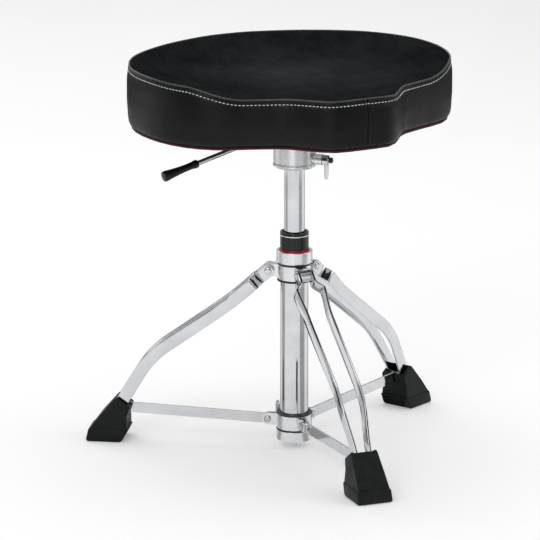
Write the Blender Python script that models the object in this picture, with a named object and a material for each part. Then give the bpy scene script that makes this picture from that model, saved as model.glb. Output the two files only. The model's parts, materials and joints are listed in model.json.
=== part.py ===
"""Drum throne: a saddle seat on a gas spring, with a folding tripod of flat double bars.

Metres, +Z up. The front leg points along -Y, and the origin is under the middle of the whole
object, on the surface that it stands on. The column's axis lies COLUMN_Y behind the origin.
"""

from math import asin, atan2, cos, pi, radians, sin, sqrt, tan

import bmesh
import bpy
from mathutils import Matrix, Vector

# ---- clearances -----------------------------------------------------------------------------
GAP = 0.0003
PIN_GAP = 0.0003
SLIDE_GAP = 0.0005
CUT_PAST = 0.0100
CUT_REACH = 0.0300

# ---- column ---------------------------------------------------------------------------------
BUSHING_ROOM = 0.00305
COLUMN_WALL = 0.0020
COLUMN_BOTTOM = 0.0120
COLUMN_TOP = 0.2697
BOTTOM_COLLAR_WALL = 0.00475
BOTTOM_COLLAR_BELOW = 0.0022
BOTTOM_COLLAR_GRIP = 0.0120
END_CAP_DEPTH = 0.0030
BEARING_RADIUS = 0.0120
BEARING_HEIGHT = 0.0050
BUSHING_LENGTH = 0.0850
DIMPLE_DROP = 0.0617
DIMPLE_RADIUS = 0.0036
DIMPLE_DEPTH = 0.0006
DIMPLE_STRETCH = 1.7
DIMPLE_TURN = -98.0

# ---- gland, rings and collar at the column's top ----------------------------------------------
UPPER_COLLAR_WALL = 0.00525
UPPER_COLLAR_GRIP = 0.0134
UPPER_COLLAR_ABOVE = 0.0033
COLLAR_EDGE = 0.0010
RED_RING_STAND = 0.00065
RED_RING_HEIGHT = 0.0050
GLAND_STAND = 0.00015
GLAND_ABOVE = 0.0288
GLAND_GROOVE_DROP = 0.0047
GLAND_GROOVE_WIDTH = 0.0014
GLAND_GROOVE_DEPTH = 0.0007
GLAND_EDGE = 0.0020
GLAND_FUNNEL_DEPTH = 0.0040
GLAND_FUNNEL_WIDTH = 0.0022

# ---- gas spring -----------------------------------------------------------------------------
CYLINDER_RADIUS = 0.0140
CYLINDER_WALL = 0.0020
CYLINDER_LOW = 0.1200
CYLINDER_TOP_DROP = 0.0250
CYLINDER_END_WALL = 0.0080
ROD_RADIUS = 0.0050
ROD_TAIL_RADIUS = 0.0040
PISTON_HEIGHT = 0.2500
PISTON_THICKNESS = 0.0120
ROD_SHOULDER_RADIUS = 0.0090
ROD_SHOULDER_HEIGHT = 0.0040
ROD_GROOVE_DEPTH = 0.0010
ROD_CLIP_THICKNESS = 0.0012
ROD_CLIP_WIDTH = 0.0040
VALVE_RADIUS = 0.0023
VALVE_BUTTON_RADIUS = 0.0042
VALVE_BUTTON_THICKNESS = 0.0025
VALVE_BUTTON_LIFT = 0.0040
VALVE_TAIL = 0.0040

# ---- leg brackets ---------------------------------------------------------------------------
UPPER_BRACKET_WALL = 0.00345
UPPER_BRACKET_HEIGHT = 0.0204
UPPER_BRACKET_DROP = 0.0026
LOWER_BRACKET_WALL = 0.00445
LOWER_BRACKET_LIFT = 0.0016
LOWER_BRACKET_HEIGHT = 0.0201
WASHER_THICKNESS = 0.0020
WASHER_OVERHANG = 0.0006
RING_EDGE = 0.0006
TAB_ROOT = 0.0018
PIVOT_PIN_RADIUS = 0.0030
PIN_HEAD_RADIUS = 0.0052
PIN_HEAD_THICKNESS = 0.0020
PIN_HEAD_SHOULDER = 0.30
PIN_HEAD_CROWN = 0.60
PIN_HEAD_SINK = 0.0008
TONGUE_HEIGHT = 0.0170
FORK_THICKNESS = 0.0030
FORK_HEIGHT = 0.0160
EAR_THICKNESS = 0.0050
EAR_LENGTH = 0.0150
EAR_HALF_HEIGHT = 0.0085
EAR_SPLIT = 0.0030
EAR_TURN = 90.0
BRACKET_BOLT_RADIUS = 0.0030
BRACKET_BOLT_TIP_PAST = 0.0060
BRACKET_HANDLE_LENGTH = 0.0200

# ---- legs, in the plane of each leg: distance from the column's axis, and height ----------------
LEG_TURNS = {"front": -90.0, "right": 30.0, "left": 150.0}
LEG_PIVOT_STAND = 0.0118
LEG_PIVOT_DROP = 0.0089
LEG_BEND = (0.0848, 0.1991)
LEG_KNEE_INSIDE_PIN = 0.0454
LEG_KNEE_HEIGHT = 0.1202
LEG_PIN_INSIDE_TOE = 0.0413
LEG_PIN_HEIGHT = 0.0450
BAR_HEIGHT = 0.0170
BAR_THICKNESS = 0.0034
BAR_EDGE = 0.0007
BEND_RADIUS = 0.1200
KNEE_RADIUS = 0.0380
BAR_END_PAST_PIN = 0.0100
FOLDED_LEG_ANGLE = 8.0
PIVOT_SPREAD = 0.0095
JOGGLE_START = 0.0130
JOGGLE_END = 0.0270
JOGGLE_SPREAD = 0.0195
BEND_SPREAD = 0.0165
KNEE_SPREAD = 0.0160
PIN_SPREAD = 0.0098

# ---- stays ----------------------------------------------------------------------------------
STAY_PIVOT_STAND = 0.0122
STAY_PIVOT_LIFT = 0.0111
STAY_HEIGHT = 0.0140
STAY_THICKNESS = 0.0030

# ---- rubber feet ----------------------------------------------------------------------------
FOOT_TOE = 0.2810
FOOT_LENGTH = 0.0545
FOOT_APEX_INSIDE_TOE = 0.0410
FOOT_APEX_HEIGHT = 0.0605
FOOT_LIP_INSIDE_TOE = 0.0585
FOOT_LIP_HEIGHT = 0.0480
FOOT_SHOULDER_INSIDE_TOE = 0.0170
FOOT_SHOULDER_HEIGHT = 0.0350
FOOT_HALF_WIDTH = 0.0235
FOOT_TOP_HALF_WIDTH = 0.0185
FOOT_SLOT_PLAY = 0.0018
FOOT_TOE_TIP = 0.0012
FOOT_TOE_HEIGHT = 0.0160
FOOT_TOE_SLOPE = 0.0030
FOOT_HEEL_HEIGHT = 0.0155
FOOT_HEEL_UNDERCUT = 0.0085
FOOT_BACK_HEIGHT = 0.0350
FOOT_LIP_DEPTH = 0.0070
FOOT_MIDDLE_INSIDE_TOE = 0.0340
FOOT_MIDDLE_HEIGHT = 0.0300
FOOT_EDGE = 0.0015
FOOT_POCKET_LENGTH = 0.0600
FOOT_SLOT_ROOM = 0.0015
FOOT_SLOT_REACH = 0.0450

# ---- seat -----------------------------------------------------------------------------------
SEAT_TURN = 6.4
SEAT_HALF_WIDTH = 0.2185
NOSE_REACH = 0.1900
REAR_REACH = 0.2010
NOSE_HALF_WIDTH = 0.0640
THIGH_BEHIND_NOSE = 0.0530
SEAT_BOTTOM = 0.4500
NOSE_WALL = 0.0645
THIGH_WALL = 0.0620
WING_WALL = 0.0795
DISH_WALL = 0.0540
WALL_BULGE = 0.0030
RIM_INSET = 0.0040
CUSHION_BOTTOM_RADIUS = 0.0060
BOARD_INSET = 0.0140
BOARD_THICKNESS = 0.0120
COVER_THICKNESS = 0.0030
COVER_INSET = 0.0035
PLATE_SIZE = 0.1100
PLATE_THICKNESS = 0.0030
PLATE_CORNER = 0.0100
BOLT_EDGE_DISTANCE = 0.0130
BOLT_RADIUS = 0.0030
BOLT_HEAD_RADIUS = 0.0060
BOLT_HEAD_THICKNESS = 0.0035
TEE_NUT_RADIUS = 0.0045
TEE_NUT_FLANGE_RADIUS = 0.0095
TEE_NUT_FLANGE_THICKNESS = 0.0012

# ---- hub, its clamp bolt and the release lever --------------------------------------------------
HUB_WALL = 0.0144
HUB_RIM_STAND = 0.0006
HUB_RIM_HEIGHT = 0.0050
HUB_GROOVE = 0.0007
HUB_GROOVE_WIDTH = 0.0008
HUB_EDGE = 0.0015
HUB_DROP = 0.0625
CLAMP_TURN = 42.0
CLAMP_LIFT = 0.0115
CLAMP_BOSS_RADIUS = 0.0075
CLAMP_BOSS_STAND = 0.0116
CLAMP_BOSS_SINK = 0.0040
CLAMP_BOLT_RADIUS = 0.0035
CLAMP_HANDLE_LENGTH = 0.0260
CLAMP_HANDLE_TIP_RADIUS = 0.0028
CLAMP_HEAD_RADIUS = 0.0065
CLAMP_HEAD_LENGTH = 0.0090
CLAMP_HEAD_EDGE = 0.0015
CLAMP_NECK_RADIUS = 0.0042
CLAMP_CAP_RADIUS = 0.0042
CLAMP_CAP_LENGTH = 0.0040
LEVER_RADIUS = 0.0034
LEVER_PIVOT_INSIDE = 0.0069
LEVER_TIP = 0.0030
LEVER_BEND_STAND = 0.0056
LEVER_DROP = 14.3
LEVER_REACH = 0.1950
LEVER_SLOT = 0.0084
LEVER_SLOT_END = 0.0060
LEVER_SLOT_ROOM = 0.0020
LEVER_BEND_RADIUS = 0.0300
LEVER_PIN_RADIUS = 0.0018
LEVER_PIN_HALF_LENGTH = 0.0120
GRIP_LENGTH = 0.0520
GRIP_SMALL_RADIUS = 0.0049
GRIP_LARGE_RADIUS = 0.0069
GRIP_COVERS = 0.0300
GRIP_COLLAR = 0.0080
GRIP_EDGE = 0.0010
GRIP_END_EDGE = 0.0030

# ---- heights that follow from the sizes above ---------------------------------------------------
COLUMN_RADIUS = CYLINDER_RADIUS + BUSHING_ROOM + COLUMN_WALL
BOTTOM_COLLAR_RADIUS = COLUMN_RADIUS + BOTTOM_COLLAR_WALL
BOTTOM_COLLAR_LOW = COLUMN_BOTTOM - BOTTOM_COLLAR_BELOW
BOTTOM_COLLAR_HIGH = COLUMN_BOTTOM + BOTTOM_COLLAR_GRIP
END_CAP_LOW = COLUMN_BOTTOM + END_CAP_DEPTH
DIMPLE_HEIGHT = COLUMN_TOP - DIMPLE_DROP
UPPER_COLLAR_RADIUS = COLUMN_RADIUS + UPPER_COLLAR_WALL
UPPER_COLLAR_LOW = COLUMN_TOP - UPPER_COLLAR_GRIP
UPPER_COLLAR_HIGH = COLUMN_TOP + UPPER_COLLAR_ABOVE
RED_RING_RADIUS = COLUMN_RADIUS + RED_RING_STAND
GLAND_RADIUS = COLUMN_RADIUS + GLAND_STAND
GLAND_TOP = COLUMN_TOP + GLAND_ABOVE
GLAND_GROOVE_HEIGHT = GLAND_TOP - GLAND_GROOVE_DROP
CYLINDER_HIGH = SEAT_BOTTOM - CYLINDER_TOP_DROP
UPPER_BRACKET_RADIUS = COLUMN_RADIUS + UPPER_BRACKET_WALL
UPPER_BRACKET_HIGH = UPPER_COLLAR_LOW - UPPER_BRACKET_DROP
UPPER_BRACKET_LOW = UPPER_BRACKET_HIGH - UPPER_BRACKET_HEIGHT
LOWER_BRACKET_RADIUS = COLUMN_RADIUS + LOWER_BRACKET_WALL
LOWER_BRACKET_LOW = BOTTOM_COLLAR_HIGH + LOWER_BRACKET_LIFT
LOWER_BRACKET_HIGH = LOWER_BRACKET_LOW + LOWER_BRACKET_HEIGHT
LEG_PIVOT = (UPPER_BRACKET_RADIUS + LEG_PIVOT_STAND, UPPER_BRACKET_HIGH - LEG_PIVOT_DROP)
LEG_PIN = (FOOT_TOE - LEG_PIN_INSIDE_TOE, LEG_PIN_HEIGHT)
LEG_KNEE = (LEG_PIN[0] - LEG_KNEE_INSIDE_PIN, LEG_KNEE_HEIGHT)
STAY_PIVOT = (LOWER_BRACKET_RADIUS + STAY_PIVOT_STAND, LOWER_BRACKET_LOW + STAY_PIVOT_LIFT)
FOOT_HEEL = FOOT_TOE - FOOT_LENGTH
FOOT_APEX = (FOOT_TOE - FOOT_APEX_INSIDE_TOE, FOOT_APEX_HEIGHT)
FOOT_LIP = (FOOT_TOE - FOOT_LIP_INSIDE_TOE, FOOT_LIP_HEIGHT)
FOOT_SHOULDER = (FOOT_TOE - FOOT_SHOULDER_INSIDE_TOE, FOOT_SHOULDER_HEIGHT)
FOOT_MIDDLE = (FOOT_TOE - FOOT_MIDDLE_INSIDE_TOE, FOOT_MIDDLE_HEIGHT)
FOOT_SLOT = BAR_THICKNESS + FOOT_SLOT_PLAY
THIGH_REACH = NOSE_REACH - THIGH_BEHIND_NOSE
NOSE_TOP = SEAT_BOTTOM + NOSE_WALL
THIGH_TOP = SEAT_BOTTOM + THIGH_WALL
WING_TOP = SEAT_BOTTOM + WING_WALL
DISH_TOP = SEAT_BOTTOM + DISH_WALL
BOLT_SPACING = PLATE_SIZE - 2 * BOLT_EDGE_DISTANCE
HUB_RADIUS = CYLINDER_RADIUS + HUB_WALL
HUB_RIM_RADIUS = HUB_RADIUS + HUB_RIM_STAND
HUB_LOW = SEAT_BOTTOM - HUB_DROP
CLAMP_HEIGHT = HUB_LOW + CLAMP_LIFT
CLAMP_BOSS_REACH = HUB_RADIUS + CLAMP_BOSS_STAND
LEVER_PIVOT_REACH = HUB_RADIUS - LEVER_PIVOT_INSIDE
LEVER_BEND_REACH = HUB_RADIUS + LEVER_BEND_STAND
COLUMN_BORE = COLUMN_RADIUS - COLUMN_WALL
SLEEVE_BORE = COLUMN_RADIUS + GAP
COVER_HIGH = SEAT_BOTTOM - GAP
COVER_LOW = COVER_HIGH - COVER_THICKNESS
PLATE_HIGH = COVER_LOW - GAP
PLATE_LOW = PLATE_HIGH - PLATE_THICKNESS
HUB_HIGH = PLATE_LOW - GAP
BOARD_LOW = SEAT_BOTTOM
BOARD_HIGH = BOARD_LOW + BOARD_THICKNESS
VALVE_TOP = CYLINDER_HIGH + VALVE_BUTTON_LIFT + VALVE_BUTTON_THICKNESS
LEVER_HEIGHT = VALVE_TOP + GAP + LEVER_RADIUS
BEARING_TOP = BOTTOM_COLLAR_HIGH + GAP + BEARING_HEIGHT
RED_RING_LOW = COLUMN_TOP + GAP
RED_RING_HIGH = RED_RING_LOW + RED_RING_HEIGHT

ROUND_SIDES = 24
SMALL_SIDES = 10
HIDDEN_SIDES = 16
SEAT_SIDES = 60


# ---- general tools --------------------------------------------------------------------------
def clear_scene():
    for obj in list(bpy.data.objects):
        bpy.data.objects.remove(obj, do_unlink=True)


def make_material(name, colour, roughness, metallic):
    material = bpy.data.materials.new(name)
    material.use_nodes = True
    shader = material.node_tree.nodes["Principled BSDF"]
    shader.inputs["Base Color"].default_value = (*colour, 1.0)
    shader.inputs["Roughness"].default_value = roughness
    shader.inputs["Metallic"].default_value = metallic
    return material


def closed_mesh(points, faces):
    """A mesh from points and faces, with its faces turned outward."""
    mesh = bpy.data.meshes.new("solid")
    mesh.from_pydata([tuple(point) for point in points], [], faces)
    shape = bmesh.new()
    shape.from_mesh(mesh)
    bmesh.ops.recalc_face_normals(shape, faces=shape.faces)
    shape.to_mesh(mesh)
    shape.free()
    return mesh


def joined(meshes):
    """One mesh that holds several separate closed bodies."""
    shape = bmesh.new()
    for mesh in meshes:
        shape.from_mesh(mesh)
    whole = bpy.data.meshes.new("group")
    shape.to_mesh(whole)
    shape.free()
    return whole


def moved(mesh, matrix):
    mesh.transform(matrix)
    return mesh


def turned(profile, sides=ROUND_SIDES):
    """A body of revolution round Z. The profile is a loop of (radius, height) points, or starts
    and ends on the axis."""
    points = []
    rings = []
    for radius, height in profile:
        count = sides if radius > 0 else 1
        rings.append(range(len(points), len(points) + count))
        for step in range(count):
            angle = 2 * pi * step / sides
            points.append((radius * cos(angle), radius * sin(angle), height))
    pairs = list(zip(rings, rings[1:]))
    if profile[0][0] > 0:
        pairs.append((rings[-1], rings[0]))
    faces = []
    for lower, upper in pairs:
        for step in range(sides):
            after = (step + 1) % sides
            if len(lower) == 1 and len(upper) == 1:
                continue
            if len(lower) == 1:
                faces.append((lower[0], upper[step], upper[after]))
            elif len(upper) == 1:
                faces.append((lower[step], lower[after], upper[0]))
            else:
                faces.append((lower[step], lower[after], upper[after], upper[step]))
    return closed_mesh(points, faces)


def rod(radius, low, high, sides=SMALL_SIDES, edge=0.0):
    """A solid round bar along Z, with an optional chamfer on both ends."""
    if edge:
        profile = [
            (0, low),
            (radius - edge, low),
            (radius, low + edge),
            (radius, high - edge),
            (radius - edge, high),
            (0, high),
        ]
    else:
        profile = [(0, low), (radius, low), (radius, high), (0, high)]
    return turned(profile, sides)


def ring(inner, outer, low, high, sides=ROUND_SIDES, edge=0.0):
    """A tube along Z, with an optional chamfer on its outer edges."""
    profile = [(inner, high), (inner, low), (outer - edge, low)]
    if edge:
        profile += [(outer, low + edge), (outer, high - edge)]
    profile.append((outer - edge, high))
    return turned(profile, sides)


def lofted(sections):
    """A body through sections of equal point counts, closed by a flat face at both ends."""
    count = len(sections[0])
    points = [point for section in sections for point in section]
    faces = [tuple(range(count)), tuple(range(len(points) - count, len(points)))]
    for row in range(len(sections) - 1):
        for step in range(count):
            after = (step + 1) % count
            near = row * count
            far = near + count
            faces.append((near + step, near + after, far + after, far + step))
    return closed_mesh(points, faces)


def plate(outline, low, high):
    """An outline of (x, y) points, extruded from one height to another."""
    return lofted([[(x, y, level) for x, y in outline] for level in (low, high)])


def side_plate(outline, half_width):
    """An outline of (distance, height) points, extruded to both sides of the leg's plane."""
    return lofted([[(x, side, z) for x, z in outline] for side in (-half_width, half_width)])


def arc(centre, radius, start, end, steps):
    """Points on an arc, with its angles in degrees."""
    points = []
    for step in range(steps + 1):
        angle = radians(start + (end - start) * step / steps)
        points.append((centre[0] + radius * cos(angle), centre[1] + radius * sin(angle)))
    return points


def add_object(name, mesh, material, parent, pivot=(0, 0, 0)):
    """An object whose mesh is given in the frame that its parent empty was placed in. The pivot is
    that empty's own place there, so the object's origin lies on the joint's axis."""
    mesh.transform(Matrix.Translation(-Vector(pivot)))
    mesh.name = name
    obj = bpy.data.objects.new(name, mesh)
    bpy.context.scene.collection.objects.link(obj)
    obj.parent = parent
    if material:
        mesh.materials.append(material)
    mesh.shade_smooth()
    mesh.set_sharp_from_angle(angle=radians(32))
    return obj


def add_empty(name, location, turn=0.0, parent=None):
    empty = bpy.data.objects.new(name, None)
    empty.empty_display_size = 0.02
    empty.location = location
    empty.rotation_euler = (0, 0, radians(turn))
    empty.parent = parent
    bpy.context.scene.collection.objects.link(empty)
    return empty


def combine(obj, other_mesh, operation, pivot=(0, 0, 0)):
    """Cuts a mesh from the object, or joins it on, with a Boolean that stays on the object."""
    name = obj.name + "_" + operation.lower()
    other = add_object(name, other_mesh, None, obj.parent, pivot)
    other.hide_render = True
    other.display_type = "WIRE"
    modifier = obj.modifiers.new(operation.lower(), "BOOLEAN")
    modifier.operation = operation
    modifier.solver = "EXACT"
    modifier.object = other


def cross_rod(radius, reach, height, half_length, sides=SMALL_SIDES):
    """A round bar across the leg's plane, at a distance and a height."""
    mesh = rod(radius, -half_length, half_length, sides)
    tilt = Matrix.Rotation(radians(90), 4, "X")
    return moved(mesh, Matrix.Translation((reach, 0, height)) @ tilt)


def turned_copy(mesh, degrees):
    copy = mesh.copy()
    copy.transform(Matrix.Rotation(radians(degrees), 4, "Z"))
    return copy


# ---- seat outline ---------------------------------------------------------------------------
def smooth_loop(points, steps):
    """A smooth closed curve through the points (Catmull-Rom)."""
    curve = []
    count = len(points)
    for index in range(count):
        a, b, c, d = (Vector(points[(index + shift) % count]) for shift in (-1, 0, 1, 2))
        for step in range(steps):
            t = step / steps
            curve.append(
                0.5
                * (
                    2 * b
                    + (c - a) * t
                    + (2 * a - 5 * b + 4 * c - d) * t * t
                    + (3 * b - a - 3 * c + d) * t**3
                )
            )
    return curve


def seat_outline():
    """The seat's outline at its bottom, as SEAT_SIDES (angle, radius) pairs from the nose round.
    Here the nose points along -Y and x is to the right."""
    half = [
        (0.66 * NOSE_HALF_WIDTH, -NOSE_REACH + 0.0030),
        (NOSE_HALF_WIDTH, -NOSE_REACH + 0.0230),
        (NOSE_HALF_WIDTH + 0.0260, -THIGH_REACH),
        (0.58 * SEAT_HALF_WIDTH, -THIGH_REACH + 0.0180),
        (0.80 * SEAT_HALF_WIDTH, -THIGH_REACH + 0.0400),
        (0.94 * SEAT_HALF_WIDTH, -THIGH_REACH + 0.0800),
        (SEAT_HALF_WIDTH, 0.0),
        (0.97 * SEAT_HALF_WIDTH, 0.32 * REAR_REACH),
        (0.81 * SEAT_HALF_WIDTH, 0.62 * REAR_REACH),
        (0.53 * SEAT_HALF_WIDTH, 0.84 * REAR_REACH),
        (0.22 * SEAT_HALF_WIDTH, 0.97 * REAR_REACH),
    ]
    mirrored = [(-x, y) for x, y in reversed(half)]
    loop = smooth_loop([(0.0, -NOSE_REACH)] + half + [(0.0, REAR_REACH)] + mirrored, 12)
    angles = [atan2(point.x, -point.y) % (2 * pi) for point in loop]
    loop_after = loop[1:] + loop[:1]
    angles_after = angles[1:] + angles[:1]
    outline = []
    for step in range(SEAT_SIDES):
        wanted = 2 * pi * step / SEAT_SIDES
        for near, far, here, there in zip(loop, loop_after, angles, angles_after):
            span = (there - here) % (2 * pi)
            part = (wanted - here) % (2 * pi)
            if span < pi and part <= span and span > 0:
                point = near.lerp(far, part / span)
                outline.append((wanted, point.length))
                break
    return outline


def seat_ring(outline, inset, scale=1.0):
    """The seat's outline moved inward by a distance, as (x, y) points."""
    return [
        ((radius * scale - inset) * sin(angle), -(radius * scale - inset) * cos(angle))
        for angle, radius in outline
    ]


def rim_height(angle):
    """The height of the seat's top edge: low at the nose and thighs, high round the back."""
    away = abs((angle + pi) % (2 * pi) - pi)
    steps = [
        (0, NOSE_TOP),
        (22, NOSE_TOP - 0.001),
        (40, THIGH_TOP),
        (50, THIGH_TOP),
        (72, WING_TOP - 0.0015),
        (90, WING_TOP),
        (180, WING_TOP),
    ]
    for (start, low), (end, high) in zip(steps, steps[1:]):
        if away <= radians(end) + 1e-9:
            part = (away - radians(start)) / radians(end - start)
            ease = part * part * (3 - 2 * part)
            return low + (high - low) * ease
    return WING_TOP


def cushion_mesh(outline):
    """The cushion: walls, a dished top, and a recess underneath that the board sits in."""
    wall = SEAT_BOTTOM + CUSHION_BOTTOM_RADIUS
    recess = BOARD_INSET - GAP
    recess_top = BOARD_HIGH + GAP

    def level(inset, height):
        return [(x, y, height) for x, y in seat_ring(outline, inset)]

    def climbing(inset, share):
        """A ring part of the way up the wall."""
        places = seat_ring(outline, inset)
        heights = [wall + (rim_height(angle) - wall) * share for angle, _ in outline]
        return [(x, y, z) for (x, y), z in zip(places, heights)]

    def dish(scale, share):
        """A ring of the top, a share of the way from the dish's middle up to the rim."""
        places = seat_ring(outline, RIM_INSET * scale, scale)
        heights = [DISH_TOP + (rim_height(angle) - DISH_TOP) * share for angle, _ in outline]
        return [(x, y, z) for (x, y), z in zip(places, heights)]

    rings = [
        level(recess, recess_top),
        level(recess, SEAT_BOTTOM),
        level(CUSHION_BOTTOM_RADIUS, SEAT_BOTTOM),
        level(0.25 * CUSHION_BOTTOM_RADIUS, SEAT_BOTTOM + 0.3 * CUSHION_BOTTOM_RADIUS),
        climbing(-0.3 * WALL_BULGE, 0.06),
        climbing(-WALL_BULGE, 0.40),
        climbing(-0.9 * WALL_BULGE, 0.72),
        climbing(-0.1 * WALL_BULGE, 0.95),
        climbing(0.5 * RIM_INSET, 1.0),
        dish(0.95, 0.83),
        dish(0.84, 0.50),
        dish(0.66, 0.18),
        dish(0.40, 0.04),
    ]
    count = len(outline)
    points = [point for one in rings for point in one]
    faces = []
    for row in range(len(rings) - 1):
        for step in range(count):
            after = (step + 1) % count
            near = row * count
            far = near + count
            faces.append((near + step, near + after, far + after, far + step))
    points += [(0, 0, recess_top), (0, 0, DISH_TOP)]
    first, last = len(points) - 2, len(points) - 1
    top = (len(rings) - 1) * count
    for step in range(count):
        after = (step + 1) % count
        faces.append((first, after, step))
        faces.append((last, top + step, top + after))
    return closed_mesh(points, faces)


# ---- leg path -------------------------------------------------------------------------------
def rounded_path(corners, radii, steps=4):
    """The corners as a path whose inner corners are arcs of the given radii."""
    path = [Vector(corners[0])]
    for index, radius in enumerate(radii, start=1):
        here = Vector(corners[index])
        back = (Vector(corners[index - 1]) - here).normalized()
        ahead = (Vector(corners[index + 1]) - here).normalized()
        half = back.angle(ahead) / 2
        centre = here + (back + ahead).normalized() * (radius / sin(half))
        start = here + back * (radius / tan(half)) - centre
        end = here + ahead * (radius / tan(half)) - centre
        turn = start.angle_signed(end)
        for step in range(steps + 1):
            # Blender's signed angle runs clockwise.
            spoke = start.copy()
            spoke.rotate(Matrix.Rotation(-turn * step / steps, 2))
            path.append(centre + spoke)
    path.append(Vector(corners[-1]))
    return path


def spread_at(length, stops):
    """The distance of a bar from the leg's plane, eased between (path length, distance) stops."""
    for (start, near), (end, far) in zip(stops, stops[1:]):
        if length <= end:
            part = max(0.0, (length - start) / (end - start))
            return near + (far - near) * part * part * (3 - 2 * part)
    return stops[-1][1]


def leg_line():
    """The middle line of a leg's bars, from the pivot to just past the stay's pin."""
    pivot, bend, knee, pin = (Vector(p) for p in (LEG_PIVOT, LEG_BEND, LEG_KNEE, LEG_PIN))
    end = pin + (pin - knee).normalized() * BAR_END_PAST_PIN
    return rounded_path([pivot, bend, knee, end], [BEND_RADIUS, KNEE_RADIUS])


def with_extra_points(path, lengths):
    """The path with more points at the given distances along it."""
    marks = [0.0]
    for near, far in zip(path, path[1:]):
        marks.append(marks[-1] + (far - near).length)
    stations = [(mark, point) for mark, point in zip(marks, path)]
    for wanted in lengths:
        for index in range(len(path) - 1):
            if marks[index] < wanted < marks[index + 1]:
                part = (wanted - marks[index]) / (marks[index + 1] - marks[index])
                stations.append((wanted, path[index].lerp(path[index + 1], part)))
    return sorted(stations, key=lambda station: station[0])


def bar_section(point, across, half_height, spread, side):
    """The eight corners of a bar's chamfered section, in the leg's frame."""
    half = BAR_THICKNESS / 2
    edge = min(BAR_EDGE, 0.4 * half_height)
    corners = [
        (half_height - edge, half),
        (half_height, half - edge),
        (half_height, -half + edge),
        (half_height - edge, -half),
        (-half_height + edge, -half),
        (-half_height, -half + edge),
        (-half_height, half - edge),
        (-half_height + edge, half),
    ]
    section = []
    for up, out in corners:
        place = point + across * up
        section.append((place.x, side * (spread + out), place.y))
    return section


def leg_bar(side):
    """One of a leg's two flat bars: S-shaped from the side, and spread apart below the pivot."""
    path = leg_line()
    total = sum((far - near).length for near, far in zip(path, path[1:]))
    bend_at = (Vector(LEG_BEND) - Vector(LEG_PIVOT)).length
    knee_at = bend_at + (Vector(LEG_KNEE) - Vector(LEG_BEND)).length
    pin_at = total - BAR_END_PAST_PIN
    stops = [
        (JOGGLE_START, PIVOT_SPREAD),
        (JOGGLE_END, JOGGLE_SPREAD),
        (bend_at, BEND_SPREAD),
        (knee_at, KNEE_SPREAD),
        (pin_at - PIN_HEAD_RADIUS, PIN_SPREAD),
        (total, PIN_SPREAD),
    ]
    joggle = JOGGLE_END - JOGGLE_START
    extra = [JOGGLE_START + joggle * share for share in (0, 0.2, 0.4, 0.6, 0.8, 1.0)]
    extra += [knee_at + 0.35 * (pin_at - knee_at), knee_at + 0.75 * (pin_at - knee_at)]
    extra += [JOGGLE_END + 0.5 * (bend_at - JOGGLE_END), pin_at - PIN_HEAD_RADIUS]
    stations = with_extra_points(path, extra)
    sections = []
    half = BAR_HEIGHT / 2
    first = (stations[1][1] - stations[0][1]).normalized()
    for angle in (80, 60, 40, 20):
        back = stations[0][1] - first * (half * sin(radians(angle)))
        across = Vector((-first.y, first.x))
        sections.append(bar_section(back, across, half * cos(radians(angle)), PIVOT_SPREAD, side))
    for index, (mark, point) in enumerate(stations):
        before = stations[max(index - 1, 0)][1]
        after = stations[min(index + 1, len(stations) - 1)][1]
        along = (after - before).normalized()
        across = Vector((-along.y, along.x))
        sections.append(bar_section(point, across, half, spread_at(mark, stops), side))
    return lofted(sections)


# ---- assemblies -----------------------------------------------------------------------------
def round_ended_tab(reach, height, start, half_height, steps=6):
    """A tab's outline from the ring out to a round end about its pin."""
    return [(start, height - half_height)] + arc(
        (reach, height), half_height, -90, 90, steps
    ) + [(start, height + half_height)]


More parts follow.
